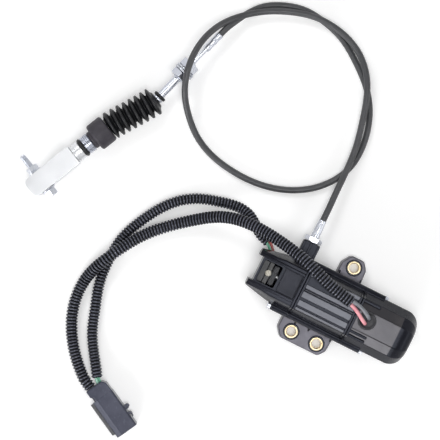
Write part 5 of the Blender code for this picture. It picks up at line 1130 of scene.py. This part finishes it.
def buildGrommet():
    seat = axisZ + rearCap["radius"] * 0.925 + gap
    grommet = spun("grommet", [(0, -2.6), (5.9, -2.6), (6.0, -0.4), (7.6, 0), (8.5, 0.1), (8.6, 0.7), (8.3, 1.4),
                               (7.6, 1.8), (6.9, 1.7), (6.3, 0.9), (5.6, 0.6), (0, 0.6)], 56, seat)
    moved(grommet, *rearCap["well"], 0)
    for route in ("pinkRoute", "greyRoute"):
        collar = spun("collar", [(1.8, -1), (2.8, -1), (2.7, 1.0), (2.4, 1.3), (1.8, 1.1)], 28, seat)
        grommet = joined("grommet", [grommet, moved(collar, *leads[route][-1][:2], 0)])
    dress(grommet, "leadGrommet", "grommetRubber", "black_rubber", "lead_grommet", smooth=50)


def sensorBody(start):
    body = spun("sensor", [
        (0, 0), (8.6, 0), (9.4, 0.8), (9.4, 3.2), (8.9, 3.5), (8.9, 4.3), (9.4, 4.6), (9.4, 6.2), (8.9, 6.5),
        (8.9, 7.3), (9.4, 7.6), (9.4, 11), (2.35, 11), (2.35, 4), (0, 4)], 56)
    body.data.transform(axisPlace(at(start, 0, axisZ), (1, 0, 0)))
    cutWith(body, block("top", (start - 1, start + 12), (-20, 20), (axisZ + 7.2, axisZ + 20)))
    bevel(body, 0.25, 2, 40)
    tray = block("tray", (-74.3, start + 3.2), (-10.6, 10.6), (axisZ + 8.6, axisZ + 10.2))
    ridge = block("ridgeBlock", (start + 8.4, start + 13.6), (-9.4, 9.4), (axisZ + 8.9, axisZ + 12.2))
    parts = [body, bevel(tray, 0.7, 4), bevel(ridge, 0.5, 3)]
    for k in range(13):
        tooth = block("tooth", (start + 8.8, start + 13.2), (-8.7 + 1.4 * k, -8.1 + 1.4 * k),
                      (axisZ + 12.0, axisZ + 12.7))
        parts.append(bevel(tooth, 0.18, 1))
    return joined("sensor", parts)


def buildSensor():
    start = shell["seam1"] - shell["head"] + head["overhang"] + head["pocketWall"] + 3.0
    dress(sensorBody(start), "positionSensor", "sensorPlastic", "grey_plastic", "position_sensor", smooth=35)
    middle, seat, half = start + 5.5, axisZ + 7.2 + gap, head["pocketHalf"] - gap
    strap = block("strap", (middle - 2.1, middle + 2.1), (-half, half), (seat, seat + 1.0))
    dress(bevel(strap, 0.3, 2), "sensorClamp", "blackedSteel", "steel", "sensor_clamp")
    top = seat + 1.0 + gap
    screw = spun("screw", [(0, -4.2), (1.0, -4.2), (1.0, 0), (3.1, 0), (3.1, 1.2), (2.7, 1.9), (1.9, 2.2), (0, 2.2)],
                 40, top)
    for degrees in (25, 115):
        cutWith(screw, turned(block("slot", (-0.4, 0.4), (-2.2, 2.2), (top + 1.0, top + 3)), degrees))
    dress(moved(screw, middle, 0, 0), "sensorScrew", "ivoryNylon", "zinc", "sensor_screw", smooth=30)
    print("sensor built")


buildGearHousing()
buildMotorCap()
buildDriveHead()
buildLid()
shortScrews()
buildOutlet()
buildGrommet()
buildSensor()


# Connector at the end of the harness

def rearPieces(half):
    p = plug
    edge, back = -p["rearWidth"] / 2, p["shoulder"] + 1
    plan = [(0, edge), (0, half - 3.6), (3.8, half - 0.5), (back, half - 0.3), (back, edge)]
    rear = extruded("rear", [at(x, y, -p["rearHeight"] / 2) for x, y in plan], at(0, 0, p["rearHeight"]))
    cutWith(rear, block("notch", (8.0, p["shoulder"] + 2), (edge - 1, edge + 2.4), (-9, 9)))
    bevel(rear, 1.2, 4, 40)
    dimple = roundBar("dimple", 0.7, p["rearHeight"] / 2 - 0.5, p["rearHeight"] / 2 + 1, 20)
    cutWith(rear, moved(dimple, 7.0, 3.6, 0))
    step = block("step", (7.6, p["shoulder"] + 0.5), (edge + 0.6, edge + 3.4), (-4.5, 2.0))
    clipBar = block("clipBar", (1.2, 7.4), (edge - 0.4, edge + 1.2), (-2.5, 3.5))
    return rear, bevel(step, 0.5, 2), bevel(clipBar, 0.4, 2)


def frontPieces(half, high, inW, inH):
    start, end = plug["shoulder"], plug["length"]
    shape = [(-half, -high), (half, -high), (half, high - 1.8), (half - 1.4, high), (-half + 5.2, high),
             (-half + 1.2, high - 2.6), (-half, high - 3.4)]
    body = extruded("front", [at(start - 0.4, y, z) for y, z in shape], at(end - start + 0.4, 0, 0))
    socket = block("socket", (end - plug["socketDepth"], end + 1), (-inW, inW), (-inH, inH))
    bevel(cutWith(body, bevel(socket, 1.0, 3)), 0.7, 3, 25)
    wedge = [(1.0, -3.5), (-3.5, -3.5), (-3.5, -1.0), (0.1, 5.2), (1.0, 5.2)]
    rail = extruded("rail", [at(start + 0.1, y - half, z) for y, z in wedge], at(35.7, 0, 0))
    # the rail takes the darker sensor plastic: painted shade on the connector's side
    return body, paint([bevel(rail, 0.5, 3, 25)], "sensorPlastic")[0]


latchHooks = ([(31.4, -1), (31.2, 3.4), (32.4, 4.6), (34.6, 4.4), (35.8, 2.4), (36.2, -1)],
              [(38.6, -1), (38.9, 1.8), (40.2, 2.7), (44.6, 2.0), (44.8, 1.0), (41.6, 1.0), (41.0, -1)])


def buildConnector():
    p = plug
    half, high = p["width"] / 2, p["height"] / 2
    inW, inH = half - p["wall"], high - p["wall"]
    turn = Matrix.Translation(at(*p["start"])) @ Matrix.Rotation(math.radians(p["angle"]), 4, "Z")
    rear, step, clipBar = rearPieces(half)
    body, rail = frontPieces(half, high, inW, inH)
    parts = [rear, body, rail, step, clipBar]
    for hook in latchHooks:
        outline = roundCorners([(x, half + y) for x, y in hook], 0.6, 3)
        parts.append(bevel(extruded("latch", [at(x, y, -3.0) for x, y in outline], at(0, 0, 6.0)), 0.35, 2, 40))
    paint([part for part in parts if not part.data.materials], "connectorNylon")
    housing = joined("connectorShell", parts)
    dressAt(turn, housing, "connectorShell", "connectorNylon", "slate_plastic", "connector_housing", smooth=30)
    low = p["length"] - p["socketDepth"] + gap
    core = block("core", (low, low + 7.0), (-inW + 2.2, inW - 2.2), (-inH + 1.8, inH - 1.8))
    pins = []
    for z in (-2.1, 2.1):
        for y in (-4.2, 0.0, 4.2):
            cutWith(core, block("cavity", (low + 2, low + 9), (y - 1.1, y + 1.1), (z - 1.1, z + 1.1)))
            pin = block("pin", (low + 0.5, low + 11.5), (y - 0.7, y + 0.7), (z - 0.35, z + 0.35))
            pins.append(bevel(pin, 0.15, 1))
    dressAt(turn, bevel(core, 0.3, 2, 40), "terminalBlock", "loomPlastic", "grey_plastic", "terminal_block",
            smooth=30)
    dressAt(turn, joined("terminalPins", pins), "terminalPins", "turnedBrass", "brass", smooth=30)
    print("connector built")


buildConnector()


# CAD nodes that stay as they are take a finish too

keptNodes = {
    "armature": "darkSteel", "brush_card": "sensorPlastic", "cable_drum": "ivoryNylon", "commutator": "copperBars",
    "magnet_1": "ferrite", "magnet_2": "ferrite", "motor_end_plate": "sensorPlastic", "ring_gear": "ivoryNylon",
}
for nodeName in ("drum_core", "motor_can", "output_shaft", "planet_gear_1", "planet_gear_2", "planet_gear_3",
                 "rotor_shaft"):
    keptNodes[nodeName] = "brightSteel"
for nodeName, look in keptNodes.items():
    paint([frame["nodes"][nodeName]], look)
print("kept nodes finished:", len(keptNodes))

bpy.ops.object.select_all(action="DESELECT")
